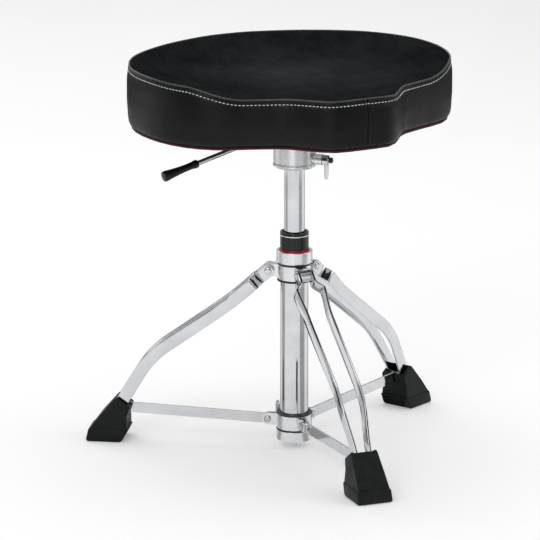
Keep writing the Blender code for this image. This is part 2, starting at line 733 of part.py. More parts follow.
def add_column(frame, chrome, black, red, silver, steel, cast):
    bore = COLUMN_BORE
    tube = add_object(
        "column_tube",
        ring(bore, COLUMN_RADIUS, COLUMN_BOTTOM, COLUMN_TOP),
        chrome,
        frame,
    )
    dimple = rod(DIMPLE_RADIUS, COLUMN_RADIUS - DIMPLE_DEPTH, COLUMN_RADIUS + CUT_PAST)
    dimple.transform(Matrix.Rotation(radians(90), 4, "Y"))
    dimple.transform(Matrix.Diagonal((1, 1, DIMPLE_STRETCH, 1)))
    dimple.transform(Matrix.Translation((0, 0, DIMPLE_HEIGHT)))
    combine(tube, turned_copy(dimple, DIMPLE_TURN), "DIFFERENCE")
    cap_radius = bore - GAP
    tail_bore = ROD_TAIL_RADIUS + PIN_GAP
    add_object(
        "column_end_cap",
        ring(tail_bore, cap_radius, END_CAP_LOW, BOTTOM_COLLAR_HIGH, HIDDEN_SIDES),
        steel,
        frame,
    )
    add_object(
        "bottom_collar",
        ring(SLEEVE_BORE, BOTTOM_COLLAR_RADIUS, BOTTOM_COLLAR_LOW, BOTTOM_COLLAR_HIGH, edge=COLLAR_EDGE),
        cast,
        frame,
    )
    add_object(
        "column_bushing",
        ring(CYLINDER_RADIUS + PIN_GAP, cap_radius, RED_RING_HIGH - BUSHING_LENGTH, RED_RING_HIGH),
        black,
        frame,
    )
    collar_step = RED_RING_LOW - GAP
    add_object(
        "upper_collar",
        turned(
            [
                (RED_RING_RADIUS + GAP, UPPER_COLLAR_HIGH),
                (RED_RING_RADIUS + GAP, collar_step),
                (SLEEVE_BORE, collar_step),
                (SLEEVE_BORE, UPPER_COLLAR_LOW),
                (UPPER_COLLAR_RADIUS - COLLAR_EDGE, UPPER_COLLAR_LOW),
                (UPPER_COLLAR_RADIUS, UPPER_COLLAR_LOW + COLLAR_EDGE),
                (UPPER_COLLAR_RADIUS, UPPER_COLLAR_HIGH - COLLAR_EDGE),
                (UPPER_COLLAR_RADIUS - COLLAR_EDGE, UPPER_COLLAR_HIGH),
            ]
        ),
        cast,
        frame,
    )
    add_object(
        "red_ring",
        ring(bore, RED_RING_RADIUS, RED_RING_LOW, RED_RING_HIGH, edge=RING_EDGE),
        red,
        frame,
    )
    groove = GLAND_RADIUS - GLAND_GROOVE_DEPTH
    groove_low = GLAND_GROOVE_HEIGHT - GLAND_GROOVE_WIDTH / 2
    groove_high = GLAND_GROOVE_HEIGHT + GLAND_GROOVE_WIDTH / 2
    gland_bore = CYLINDER_RADIUS + 2 * PIN_GAP
    gland_low = RED_RING_HIGH + GAP
    add_object(
        "gland_nut",
        turned(
            [
                (gland_bore, GLAND_TOP - GLAND_FUNNEL_DEPTH),
                (gland_bore, gland_low),
                (GLAND_RADIUS, gland_low),
                (GLAND_RADIUS, groove_low - GAP),
                (groove - GAP, groove_low - GAP),
                (groove - GAP, groove_high + GAP),
                (GLAND_RADIUS, groove_high + GAP),
                (GLAND_RADIUS, GLAND_TOP - GLAND_EDGE),
                (GLAND_RADIUS - 0.75 * GLAND_EDGE, GLAND_TOP),
                (gland_bore + GLAND_FUNNEL_WIDTH, GLAND_TOP),
            ]
        ),
        black,
        frame,
    )
    add_object(
        "gland_trim_ring", ring(groove, GLAND_RADIUS + GAP, groove_low, groove_high), silver, frame
    )
    bearing_low = BEARING_TOP - BEARING_HEIGHT
    add_object(
        "thrust_bearing",
        ring(ROD_TAIL_RADIUS + PIN_GAP, BEARING_RADIUS, bearing_low, BEARING_TOP, HIDDEN_SIDES),
        steel,
        frame,
    )


def add_upper_bracket(frame, cast, black, steel):
    bracket = add_object(
        "upper_leg_bracket",
        ring(SLEEVE_BORE, UPPER_BRACKET_RADIUS, UPPER_BRACKET_LOW, UPPER_BRACKET_HIGH, edge=RING_EDGE),
        cast,
        frame,
    )
    reach, height = LEG_PIVOT
    half = TONGUE_HEIGHT / 2
    start = COLUMN_RADIUS + TAB_ROOT
    outline = round_ended_tab(reach, height, start, half)
    tongue_half_width = PIVOT_SPREAD - BAR_THICKNESS / 2 - GAP
    tongue = side_plate(outline, tongue_half_width)
    hole = cross_rod(PIVOT_PIN_RADIUS + PIN_GAP, reach, height, CUT_REACH)
    pin = cross_rod(PIVOT_PIN_RADIUS, reach, height, tongue_half_width)
    tongues, holes = (
        joined([turned_copy(mesh, turn) for turn in LEG_TURNS.values()]) for mesh in (tongue, hole)
    )
    combine(bracket, tongues, "UNION")
    combine(bracket, holes, "DIFFERENCE")
    for side_name, turn in LEG_TURNS.items():
        add_object("leg_pivot_pin_" + side_name, turned_copy(pin, turn), steel, frame)
    washer_radius = UPPER_BRACKET_RADIUS + WASHER_OVERHANG
    below = UPPER_BRACKET_LOW - GAP
    above = UPPER_BRACKET_HIGH + GAP
    low_washer = ring(SLEEVE_BORE, washer_radius, below - WASHER_THICKNESS, below)
    high_washer = ring(SLEEVE_BORE, washer_radius, above, UPPER_COLLAR_LOW - GAP)
    add_object("upper_bracket_washer_low", low_washer, black, frame)
    add_object("upper_bracket_washer_high", high_washer, black, frame)


def add_lower_bracket(frame, cast, black, steel, chrome):
    """The bracket that slides on the column, with its forks, washers, pins and clamp bolt."""
    mover = add_empty("bracket_slide", (0, 0, STAY_PIVOT[1]), parent=frame)
    home = (0, 0, STAY_PIVOT[1])
    bore = COLUMN_RADIUS + SLIDE_GAP
    bracket = add_object(
        "lower_leg_bracket",
        ring(bore, LOWER_BRACKET_RADIUS, LOWER_BRACKET_LOW, LOWER_BRACKET_HIGH, edge=RING_EDGE),
        cast,
        mover,
        home,
    )
    reach, height = STAY_PIVOT
    gap = STAY_THICKNESS / 2 + GAP
    start = COLUMN_RADIUS + TAB_ROOT
    outline = round_ended_tab(reach, height, start, FORK_HEIGHT / 2)
    cheeks = []
    for side in (-1, 1):
        cheek = side_plate(outline, FORK_THICKNESS / 2)
        cheeks.append(moved(cheek, Matrix.Translation((0, side * (gap + FORK_THICKNESS / 2), 0))))
    fork = joined(cheeks)
    hole = cross_rod(PIVOT_PIN_RADIUS + PIN_GAP, reach, height, CUT_REACH)
    shank = gap + FORK_THICKNESS + GAP + PIN_HEAD_THICKNESS
    pin_profile = headed_pin(shank)
    pin = moved(
        turned(pin_profile, SMALL_SIDES),
        Matrix.Translation((reach, 0, height)) @ Matrix.Rotation(radians(90), 4, "X"),
    )
    forks, holes = (
        joined([turned_copy(mesh, turn) for turn in LEG_TURNS.values()]) for mesh in (fork, hole)
    )
    combine(bracket, forks, "UNION", home)
    combine(bracket, holes, "DIFFERENCE", home)
    for side_name, turn in LEG_TURNS.items():
        add_object("stay_pivot_pin_" + side_name, turned_copy(pin, turn), steel, mover, home)

    # Two clamp ears stand out behind the column, with a split between them.
    middle = (LOWER_BRACKET_LOW + LOWER_BRACKET_HIGH) / 2
    ear_reach = LOWER_BRACKET_RADIUS + EAR_LENGTH / 2
    ears_half = EAR_SPLIT / 2 + EAR_THICKNESS
    ear_outline = round_ended_tab(ear_reach, middle, start, EAR_HALF_HEIGHT)
    ears = turned_copy(side_plate(ear_outline, ears_half), EAR_TURN)
    inner = COLUMN_BORE
    outer = ear_reach + EAR_LENGTH
    floor = LOWER_BRACKET_LOW - CUT_PAST
    ceiling = LOWER_BRACKET_HIGH + CUT_PAST
    split = [(inner, floor), (outer, floor), (outer, ceiling), (inner, ceiling)]
    slit = turned_copy(side_plate(split, EAR_SPLIT / 2), EAR_TURN)
    bolt_hole = cross_rod(BRACKET_BOLT_RADIUS + PIN_GAP, ear_reach, middle, CUT_REACH)
    bolt_hole = turned_copy(bolt_hole, EAR_TURN)
    combine(bracket, ears, "UNION", home)
    combine(bracket, slit, "DIFFERENCE", home)
    combine(bracket, bolt_hole, "DIFFERENCE", home)

    turn = Matrix.Rotation(radians(EAR_TURN), 4, "Z")
    bolt_middle = turn @ Vector((ear_reach, 0, middle))
    bolt_empty = add_empty("bracket_clamp_turn", bolt_middle - Vector(home), parent=mover)
    head_start = ears_half + GAP
    tip = -ears_half - BRACKET_BOLT_TIP_PAST
    bolt = clamp_bolt(BRACKET_BOLT_RADIUS, tip, head_start, -BRACKET_HANDLE_LENGTH)
    aim = turn @ Matrix.Translation((ear_reach, 0, middle)) @ Matrix.Rotation(radians(-90), 4, "X")
    add_object("bracket_clamp_bolt", moved(bolt, aim), chrome, bolt_empty, bolt_middle)
    washer_radius = LOWER_BRACKET_RADIUS + WASHER_OVERHANG
    above = LOWER_BRACKET_HIGH + GAP
    below = LOWER_BRACKET_LOW - GAP
    low_washer = ring(bore, washer_radius, BOTTOM_COLLAR_HIGH + GAP, below)
    high_washer = ring(bore, washer_radius, above, above + WASHER_THICKNESS, edge=RING_EDGE)
    add_object("lower_bracket_washer_low", low_washer, black, mover, home)
    add_object("lower_bracket_washer_high", high_washer, black, mover, home)
    return mover, home


def headed_pin(half_length):
    """A pin's profile with a domed head on both ends, from below to above."""
    neck = half_length - PIN_HEAD_THICKNESS
    return [
        (0, -half_length),
        (PIN_HEAD_CROWN * PIN_HEAD_RADIUS, -half_length),
        (PIN_HEAD_RADIUS, -neck - PIN_HEAD_SHOULDER * PIN_HEAD_THICKNESS),
        (PIN_HEAD_RADIUS, -neck),
        (PIVOT_PIN_RADIUS, -neck),
        (PIVOT_PIN_RADIUS, neck),
        (PIN_HEAD_RADIUS, neck),
        (PIN_HEAD_RADIUS, neck + PIN_HEAD_SHOULDER * PIN_HEAD_THICKNESS),
        (PIN_HEAD_CROWN * PIN_HEAD_RADIUS, half_length),
        (0, half_length),
    ]


def clamp_bolt(radius, tip, head_start, handle):
    """A clamp bolt along Z from its tip, with a round head and one tapered handle along Y, whose
    length is negative when it points to -Y. The head and handle are one casting with the shank."""
    head_end = head_start + CLAMP_HEAD_LENGTH
    shank = turned(
        [
            (0, tip),
            (radius, tip),
            (radius, head_start),
            (CLAMP_HEAD_RADIUS, head_start),
            (CLAMP_HEAD_RADIUS, head_end - CLAMP_HEAD_EDGE),
            (CLAMP_HEAD_RADIUS - CLAMP_HEAD_EDGE, head_end),
            (0, head_end),
        ],
        SMALL_SIDES,
    )
    level = head_start + CLAMP_HEAD_LENGTH / 2
    thick = CLAMP_HEAD_LENGTH / 2 - 0.5 * CLAMP_HEAD_EDGE
    sections = []
    for share, width, depth in (
        (0.0, CLAMP_HEAD_RADIUS - 0.6 * CLAMP_HEAD_EDGE, thick),
        (0.35, CLAMP_NECK_RADIUS, 0.78 * thick),
        (0.8, 0.95 * CLAMP_NECK_RADIUS, 0.72 * thick),
        (1.0, CLAMP_HANDLE_TIP_RADIUS, 0.55 * thick),
    ):
        section = []
        for step in range(SMALL_SIDES):
            angle = 2 * pi * step / SMALL_SIDES
            section.append((width * cos(angle), share * handle, level + depth * sin(angle)))
        sections.append(section)
    bolt = bpy.data.objects.new("bolt_blank", shank)
    other = bpy.data.objects.new("handle_blank", lofted(sections))
    for obj in (bolt, other):
        bpy.context.scene.collection.objects.link(obj)
    modifier = bolt.modifiers.new("union", "BOOLEAN")
    modifier.operation = "UNION"
    modifier.solver = "EXACT"
    modifier.object = other
    bpy.context.view_layer.update()
    graph = bpy.context.evaluated_depsgraph_get()
    whole = bpy.data.meshes.new_from_object(bolt.evaluated_get(graph))
    for obj in (bolt, other):
        bpy.data.objects.remove(obj, do_unlink=True)
    return whole


def foot_mesh():
    """A wedge-shaped rubber foot with a flat sole, wider at its base than at its top."""
    profile = [
        (FOOT_HEEL + FOOT_HEEL_UNDERCUT, 0.0),
        (FOOT_TOE - FOOT_TOE_TIP, 0.0),
        (FOOT_TOE, FOOT_TOE_TIP),
        (FOOT_TOE - FOOT_TOE_SLOPE, FOOT_TOE_HEIGHT),
        FOOT_SHOULDER,
        (FOOT_APEX[0] + 2 * FOOT_EDGE, FOOT_APEX[1] - FOOT_EDGE),
        FOOT_APEX,
        FOOT_LIP,
        (FOOT_LIP[0] + FOOT_EDGE, FOOT_LIP[1] - FOOT_LIP_DEPTH),
        (FOOT_HEEL, FOOT_BACK_HEIGHT),
        (FOOT_HEEL, FOOT_HEEL_HEIGHT),
    ]
    slope = (FOOT_HALF_WIDTH - FOOT_TOP_HALF_WIDTH) / FOOT_APEX[1]
    middle = Vector(FOOT_MIDDLE)
    edge_share = FOOT_EDGE / FOOT_HALF_WIDTH
    sections = []
    for share, pull in ((-1.0, FOOT_EDGE), (edge_share - 1, 0.0), (1 - edge_share, 0.0), (1.0, FOOT_EDGE)):
        section = []
        for point in profile:
            away = Vector(point) - middle
            place = middle + away * (1 - pull / away.length)
            height = place.y if point[1] > 0 else 0.0
            section.append((place.x, share * (FOOT_HALF_WIDTH - slope * height), height))
        sections.append(section)
    return lofted(sections)


def foot_pocket():
    """The room inside a foot for both bars and the heads of their pin."""
    pin = Vector(LEG_PIN)
    along = (pin - Vector(LEG_KNEE)).normalized()
    across = Vector((-along.y, along.x))
    half = BAR_HEIGHT / 2 + 2 * GAP
    low = pin + along * (BAR_END_PAST_PIN + 2 * GAP)
    high = pin - along * FOOT_POCKET_LENGTH
    side = across * half
    outline = [low - side, low + side, high + side, high - side]
    width = PIN_SPREAD + BAR_THICKNESS / 2 + GAP + PIN_HEAD_THICKNESS + 2 * GAP
    return side_plate([tuple(point) for point in outline], width)


def stay_angles():
    """The stay's slope at rest and, in the leg's frame, where it points when the legs are folded,
    as the angle of the line from the leg's pin to the bracket."""
    pin = Vector(LEG_PIN)
    bracket = Vector(STAY_PIVOT)
    rest = atan2(bracket.y - pin.y, bracket.x - pin.x) % (2 * pi)
    fold = fold_motion()
    return rest, fold["stay_in_leg"]


def fold_motion():
    """The fold's end: how far the bracket slides, and how far the stays and legs turn."""
    pivot = Vector(LEG_PIVOT)
    pin = Vector(LEG_PIN)
    bracket = Vector(STAY_PIVOT)
    leg = (pin - pivot).length
    stay = (pin - bracket).length
    rest_angle = atan2(pin.x - pivot.x, pivot.y - pin.y)
    folded = radians(FOLDED_LEG_ANGLE)
    pin_end = pivot + Vector((leg * sin(folded), -leg * cos(folded)))
    drop = sqrt(stay**2 - (pin_end.x - bracket.x) ** 2)
    slide = pin_end.y + drop - bracket.y
    leg_turn = rest_angle - folded
    stay_rest = asin((pin.y - bracket.y) / stay)
    stay_end = atan2(-drop, pin_end.x - bracket.x)
    inward = atan2(drop, bracket.x - pin_end.x) + leg_turn
    return {
        "slide": slide,
        "leg_turn": leg_turn,
        "stay_turn": stay_rest - stay_end,
        "stay_in_leg": inward % (2 * pi),
    }


def foot_slot():
    """The slot in a foot that the stay swings in as the legs fold."""
    start, end = stay_angles()
    pin = Vector(LEG_PIN)
    room = STAY_HEIGHT / 2 + FOOT_SLOT_ROOM
    between = (start + end) / 2

    def spoke(length, angle):
        return Vector((length * cos(angle), length * sin(angle)))

    around = (start + pi / 2, start + 3 * pi / 4, between + pi, end - 3 * pi / 4, end - pi / 2)
    outline = [pin + spoke(room, angle) for angle in around]
    outline.append(pin + spoke(FOOT_SLOT_REACH, end) + spoke(room, end - pi / 2))
    outline.append(pin + spoke(1.25 * FOOT_SLOT_REACH, between))
    outline.append(pin + spoke(FOOT_SLOT_REACH, start) + spoke(room, start + pi / 2))
    return side_plate([tuple(point) for point in outline], FOOT_SLOT / 2)


def pivot_head(side):
    """The peened head of the upper pivot, on the outer face of one bar."""
    base = PIVOT_SPREAD + BAR_THICKNESS / 2 - PIN_HEAD_SINK
    shoulder = PIVOT_SPREAD + BAR_THICKNESS / 2
    head = turned(
        [
            (0, base),
            (PIN_HEAD_RADIUS, base),
            (PIN_HEAD_RADIUS, shoulder + PIN_HEAD_SHOULDER * PIN_HEAD_THICKNESS),
            (PIN_HEAD_CROWN * PIN_HEAD_RADIUS, shoulder + PIN_HEAD_THICKNESS),
            (0, shoulder + PIN_HEAD_THICKNESS),
        ],
        SMALL_SIDES,
    )
    head.transform(Matrix.Rotation(radians(-90 * side), 4, "X"))
    return moved(head, Matrix.Translation((LEG_PIVOT[0], 0, LEG_PIVOT[1])))


def add_leg(side_name, mover, home, frame_turn, chrome, rubber, steel):
    """A stay and the leg that it carries, in the frame of the leg's own plane."""
    plane = add_empty(side_name + "_leg_plane", (0, 0, 0), frame_turn, mover)
    lift = Vector((STAY_PIVOT[0], 0, STAY_PIVOT[1]))
    swing = add_empty(side_name + "_stay_swing", lift - Vector(home), parent=plane)
    stay_line = Vector(LEG_PIN) - Vector(STAY_PIVOT)
    tilt = atan2(stay_line.y, stay_line.x)
    length = stay_line.length
    half = STAY_HEIGHT / 2
    outline = arc((0, 0), half, 270, 90, 6) + arc((length, 0), half, 90, -90, 6)
    stay_mesh = side_plate(outline, STAY_THICKNESS / 2)
    stay_mesh.transform(Matrix.Rotation(-tilt, 4, "Y"))
    stay_mesh.transform(Matrix.Translation(lift))
    stay = add_object("stay_" + side_name, stay_mesh, chrome, swing, lift)
    pin_place = Vector((LEG_PIN[0], 0, LEG_PIN[1]))
    hole = PIVOT_PIN_RADIUS + PIN_GAP
    holes = joined(
        [cross_rod(hole, *STAY_PIVOT, CUT_PAST), cross_rod(hole, *LEG_PIN, CUT_PAST)]
    )
    combine(stay, holes, "DIFFERENCE", lift)

    knuckle = add_empty(side_name + "_leg_swing", pin_place - lift, parent=swing)
    for side, label in ((-1, "a"), (1, "b")):
        bar = add_object(
            "leg_bar_" + side_name + "_" + label, leg_bar(side), chrome, knuckle, pin_place
        )
        bar_hole = cross_rod(hole, *LEG_PIN, CUT_REACH)
        combine(bar, bar_hole, "DIFFERENCE", pin_place)
        combine(bar, pivot_head(side), "UNION", pin_place)
    foot = add_object("foot_" + side_name, foot_mesh(), rubber, knuckle, pin_place)
    combine(foot, foot_pocket(), "DIFFERENCE", pin_place)
    combine(foot, foot_slot(), "DIFFERENCE", pin_place)
    half_pin = PIN_SPREAD + BAR_THICKNESS / 2 + GAP + PIN_HEAD_THICKNESS
    lay = Matrix.Rotation(radians(90), 4, "X")
    stay_pin = moved(turned(headed_pin(half_pin), SMALL_SIDES), Matrix.Translation(pin_place) @ lay)
    add_object("stay_end_pin_" + side_name, stay_pin, steel, knuckle, pin_place)


def add_gas_spring(frame, chrome, steel):
    """The piston rod turns in the column; the cylinder slides on it."""
    spin = add_empty("seat_swivel", (0, 0, 0), parent=frame)
    shoulder = BEARING_TOP + GAP
    clip_high = END_CAP_LOW - GAP
    clip_low = clip_high - ROD_CLIP_THICKNESS
    groove = ROD_TAIL_RADIUS - ROD_GROOVE_DEPTH
    tail = BOTTOM_COLLAR_LOW + GAP
    bore = CYLINDER_RADIUS - CYLINDER_WALL
    add_object(
        "piston_rod",
        turned(
            [
                (0, tail),
                (ROD_TAIL_RADIUS, tail),
                (ROD_TAIL_RADIUS, clip_low - GAP),
                (groove, clip_low - GAP),
                (groove, clip_high + GAP),
                (ROD_TAIL_RADIUS, clip_high + GAP),
                (ROD_TAIL_RADIUS, shoulder),
                (ROD_SHOULDER_RADIUS, shoulder),
                (ROD_SHOULDER_RADIUS, shoulder + ROD_SHOULDER_HEIGHT),
                (ROD_RADIUS, shoulder + ROD_SHOULDER_HEIGHT),
                (ROD_RADIUS, PISTON_HEIGHT),
                (bore - GAP, PISTON_HEIGHT),
                (bore - GAP, PISTON_HEIGHT + PISTON_THICKNESS),
                (0, PISTON_HEIGHT + PISTON_THICKNESS),
            ],
            HIDDEN_SIDES,
        ),
        steel,
        spin,
    )
    clip = ring(groove + GAP, groove + ROD_CLIP_WIDTH, clip_low, clip_high, HIDDEN_SIDES)
    add_object("rod_clip", clip, steel, spin)
    lift = add_empty("seat_height", (0, 0, HUB_LOW), SEAT_TURN, spin)
    home = (0, 0, HUB_LOW)
    rod_hole = ROD_RADIUS + PIN_GAP
    valve_hole = VALVE_RADIUS + PIN_GAP
    add_object(
        "gas_cylinder",
        turned(
            [
                (rod_hole, CYLINDER_LOW),
                (CYLINDER_RADIUS - COLLAR_EDGE, CYLINDER_LOW),
                (CYLINDER_RADIUS, CYLINDER_LOW + COLLAR_EDGE),
                (CYLINDER_RADIUS, CYLINDER_HIGH - COLLAR_EDGE),
                (CYLINDER_RADIUS - COLLAR_EDGE, CYLINDER_HIGH),
                (valve_hole, CYLINDER_HIGH),
                (valve_hole, CYLINDER_HIGH - CYLINDER_END_WALL),
                (bore, CYLINDER_HIGH - CYLINDER_END_WALL),
                (bore, CYLINDER_LOW + CYLINDER_END_WALL),
                (rod_hole, CYLINDER_LOW + CYLINDER_END_WALL),
            ]
        ),
        chrome,
        lift,
        home,
    )
    button_low = VALVE_TOP - VALVE_BUTTON_THICKNESS
    valve_low = CYLINDER_HIGH - CYLINDER_END_WALL - VALVE_TAIL
    add_object(
        "valve_pin",
        turned(
            [
                (0, valve_low),
                (VALVE_RADIUS, valve_low),
                (VALVE_RADIUS, button_low),
                (VALVE_BUTTON_RADIUS, button_low),
                (VALVE_BUTTON_RADIUS, VALVE_TOP - RING_EDGE),
                (VALVE_BUTTON_RADIUS - RING_EDGE, VALVE_TOP),
                (0, VALVE_TOP),
            ],
            SMALL_SIDES,
        ),
        steel,
        lift,
        home,
    )
    return lift, home


def add_hub(lift, home, cast, steel, chrome, black):
    """The cast hub, with the lever's slot and a boss for its clamp bolt."""
    bore = CYLINDER_RADIUS + GAP
    neck = HUB_LOW + HUB_RIM_HEIGHT
    hub = add_object(
        "seat_hub",
        turned(
            [
                (bore, HUB_HIGH),
                (bore, HUB_LOW),
                (HUB_RIM_RADIUS - HUB_EDGE, HUB_LOW),
                (HUB_RIM_RADIUS, HUB_LOW + HUB_EDGE),
                (HUB_RIM_RADIUS, neck - HUB_GROOVE_WIDTH),
                (HUB_RADIUS - HUB_GROOVE, neck),
                (HUB_RADIUS - HUB_GROOVE, neck + HUB_GROOVE_WIDTH),
                (HUB_RADIUS, neck + 2 * HUB_GROOVE_WIDTH),
                (HUB_RADIUS, HUB_HIGH),
            ]
        ),
        cast,
        lift,
        home,
    )
    aim = Matrix.Rotation(radians(CLAMP_TURN - 90), 4, "Z") @ Matrix.Translation(
        (0, 0, CLAMP_HEIGHT)
    ) @ Matrix.Rotation(radians(90), 4, "Y")
    boss_start = bore + CLAMP_BOSS_SINK
    boss = moved(rod(CLAMP_BOSS_RADIUS, boss_start, CLAMP_BOSS_REACH, HIDDEN_SIDES), aim)
    hole_start = bore - CLAMP_BOSS_SINK
    hole_end = CLAMP_BOSS_REACH + CUT_PAST
    screw_hole = moved(rod(CLAMP_BOLT_RADIUS + PIN_GAP, hole_start, hole_end), aim)
    combine(hub, boss, "UNION", home)
    combine(hub, screw_hole, "DIFFERENCE", home)
    start = -HUB_RIM_RADIUS - CUT_PAST
    end = LEVER_SLOT_END
    half = LEVER_SLOT / 2
    outline = [(start, -half), (end, -half), (end, half), (start, half)]
    slot = plate(outline, CYLINDER_HIGH - LEVER_SLOT_ROOM, HUB_HIGH + CUT_PAST)
    combine(hub, slot, "DIFFERENCE", home)
    pin_hole = cross_rod(LEVER_PIN_RADIUS + PIN_GAP, -LEVER_PIVOT_REACH, LEVER_HEIGHT, CUT_REACH)
    combine(hub, pin_hole, "DIFFERENCE", home)
    lever_pin = cross_rod(LEVER_PIN_RADIUS, -LEVER_PIVOT_REACH, LEVER_HEIGHT, LEVER_PIN_HALF_LENGTH)
    add_object("lever_pin", lever_pin, steel, lift, home)

    bolt_place = aim @ Vector((0, 0, CLAMP_BOSS_REACH))
    bolt_empty = add_empty("hub_clamp_turn", bolt_place - Vector(home), parent=lift)
    head_start = CLAMP_BOSS_REACH + GAP
    bolt = clamp_bolt(CLAMP_BOLT_RADIUS, bore + GAP, head_start, CLAMP_HANDLE_LENGTH)
    # The handle hangs down when the bolt is aimed outward.
    hang = aim @ Matrix.Rotation(radians(-90), 4, "Z")
    add_object("hub_clamp_bolt", moved(bolt, hang), chrome, bolt_empty, bolt_place)
    cap_low = head_start + CLAMP_HEAD_LENGTH + GAP
    cap = rod(CLAMP_CAP_RADIUS, cap_low, cap_low + CLAMP_CAP_LENGTH, edge=COLLAR_EDGE)
    add_object("clamp_bolt_cap", moved(cap, aim), black, bolt_empty, bolt_place)


def lever_path():
    """The lever's middle line: level through the hub, then sloping down to the grip."""
    drop = radians(LEVER_DROP)
    end = Vector((-LEVER_REACH, LEVER_HEIGHT - (LEVER_REACH - LEVER_BEND_REACH) * tan(drop)))
    corners = [(LEVER_TIP, LEVER_HEIGHT), (-LEVER_BEND_REACH, LEVER_HEIGHT), end]
    return rounded_path(corners, [LEVER_BEND_RADIUS])


def round_tube(path, radius):
    """A round bar along a path in the XZ plane."""
    sections = []
    for index, point in enumerate(path):
        before = path[max(index - 1, 0)]
        after = path[min(index + 1, len(path) - 1)]
        along = (after - before).normalized()
        across = Vector((-along.y, along.x))
        section = []
        for step in range(SMALL_SIDES):
            angle = 2 * pi * step / SMALL_SIDES
            place = point + across * (radius * cos(angle))
            section.append((place.x, radius * sin(angle), place.y))
        sections.append(section)
    return lofted(sections)


def add_lever(lift, home, chrome, rubber):
    pivot = Vector((-LEVER_PIVOT_REACH, 0, LEVER_HEIGHT))
    swing = add_empty("release_lever_swing", pivot - Vector(home), parent=lift)
    path = lever_path()
    along = (path[-1] - path[-2]).normalized()
    path[-1] = path[-1] - along * (GRIP_LENGTH - GRIP_COVERS)
    lever = add_object("release_lever", round_tube(path, LEVER_RADIUS), chrome, swing, pivot)
    hole = cross_rod(LEVER_PIN_RADIUS + PIN_GAP, -LEVER_PIVOT_REACH, LEVER_HEIGHT, CUT_PAST)
    combine(lever, hole, "DIFFERENCE", pivot)
    inside = LEVER_RADIUS + GAP
    depth = GRIP_COVERS + GAP
    grip = turned(
        [
            (0, depth),
            (inside, depth),
            (inside, 0),
            (GRIP_SMALL_RADIUS - 0.5 * GRIP_EDGE, 0),
            (GRIP_SMALL_RADIUS, 0.5 * GRIP_EDGE),
            (GRIP_SMALL_RADIUS, 0.5 * GRIP_LENGTH),
            (GRIP_LARGE_RADIUS, GRIP_LENGTH - GRIP_COLLAR),
            (GRIP_LARGE_RADIUS, GRIP_LENGTH - GRIP_END_EDGE),
            (GRIP_LARGE_RADIUS - GRIP_END_EDGE, GRIP_LENGTH),
            (0, GRIP_LENGTH),
        ],
        HIDDEN_SIDES,
    )
    start = lever_path()[-1] - along * GRIP_LENGTH
    lean = atan2(along.x, along.y)
    place = Matrix.Translation((start.x, 0, start.y)) @ Matrix.Rotation(lean, 4, "Y")
    add_object("lever_grip", moved(grip, place), rubber, swing, pivot)


def bolt_places():
    half = BOLT_SPACING / 2
    return [(x, y) for x in (-half, half) for y in (-half, half)]


def at_each_bolt(mesh):
    """A copy of the mesh at each bolt's place."""
    return [moved(mesh.copy(), Matrix.Translation((x, y, 0))) for x, y in bolt_places()]


def rounded_square(size, corner):
    half = size / 2 - corner
    points = []
    for x, y, start in ((1, 1, 0), (-1, 1, 90), (-1, -1, 180), (1, -1, 270)):
        points += arc((x * half, y * half), corner, start, start + 90, 4)
    return points


def add_seat(lift, home, outline, materials):
    steel, wood, red_cloth, vinyl = materials
    top = BOARD_HIGH
    seat_plate = add_object(
        "seat_plate",
        plate(rounded_square(PLATE_SIZE, PLATE_CORNER), PLATE_LOW, PLATE_HIGH),
        steel,
        lift,
        home,
    )
    hole = rod(BOLT_RADIUS + PIN_GAP, PLATE_LOW - CUT_PAST, COVER_HIGH + CUT_PAST)
    clearance = joined(at_each_bolt(hole))
    combine(seat_plate, clearance.copy(), "DIFFERENCE", home)
    cover = add_object(
        "underside_cover",
        plate(seat_ring(outline, COVER_INSET), COVER_LOW, COVER_HIGH),
        red_cloth,
        lift,
        home,
    )
    combine(cover, clearance, "DIFFERENCE", home)
    board = add_object(
        "seat_board", plate(seat_ring(outline, BOARD_INSET), BOARD_LOW, top), wood, lift, home
    )
    barrel = TEE_NUT_RADIUS + GAP
    flange = TEE_NUT_FLANGE_RADIUS + GAP
    flange_low = top - TEE_NUT_FLANGE_THICKNESS - 2 * GAP
    pocket = turned(
        [
            (0, BOARD_LOW - CUT_PAST),
            (barrel, BOARD_LOW - CUT_PAST),
            (barrel, flange_low),
            (flange, flange_low),
            (flange, top + CUT_PAST),
            (0, top + CUT_PAST),
        ],
        SMALL_SIDES,
    )
    combine(board, joined(at_each_bolt(pocket)), "DIFFERENCE", home)
    thread = BOLT_RADIUS + PIN_GAP
    nut_low = BOARD_LOW + GAP
    tee_nut = turned(
        [
            (thread, top - GAP),
            (thread, nut_low),
            (TEE_NUT_RADIUS, nut_low),
            (TEE_NUT_RADIUS, flange_low + GAP),
            (TEE_NUT_FLANGE_RADIUS, flange_low + GAP),
            (TEE_NUT_FLANGE_RADIUS, top - GAP),
        ],
        SMALL_SIDES,
    )
    for number, nut in enumerate(at_each_bolt(tee_nut), start=1):
        add_object(f"tee_nut_{number}", nut, steel, lift, home)
    head_high = PLATE_LOW - GAP
    bolt = turned(
        [
            (0, head_high - BOLT_HEAD_THICKNESS),
            (BOLT_HEAD_RADIUS - COLLAR_EDGE, head_high - BOLT_HEAD_THICKNESS),
            (BOLT_HEAD_RADIUS, head_high - BOLT_HEAD_THICKNESS + COLLAR_EDGE),
            (BOLT_HEAD_RADIUS, head_high),
            (BOLT_RADIUS, head_high),
            (BOLT_RADIUS, top - GAP),
            (0, top - GAP),
        ],
        SMALL_SIDES,
    )
    for number, screw in enumerate(at_each_bolt(bolt), start=1):
        add_object(f"plate_bolt_{number}", screw, steel, lift, home)
    add_object("seat_cushion", cushion_mesh(outline), vinyl, lift, home)


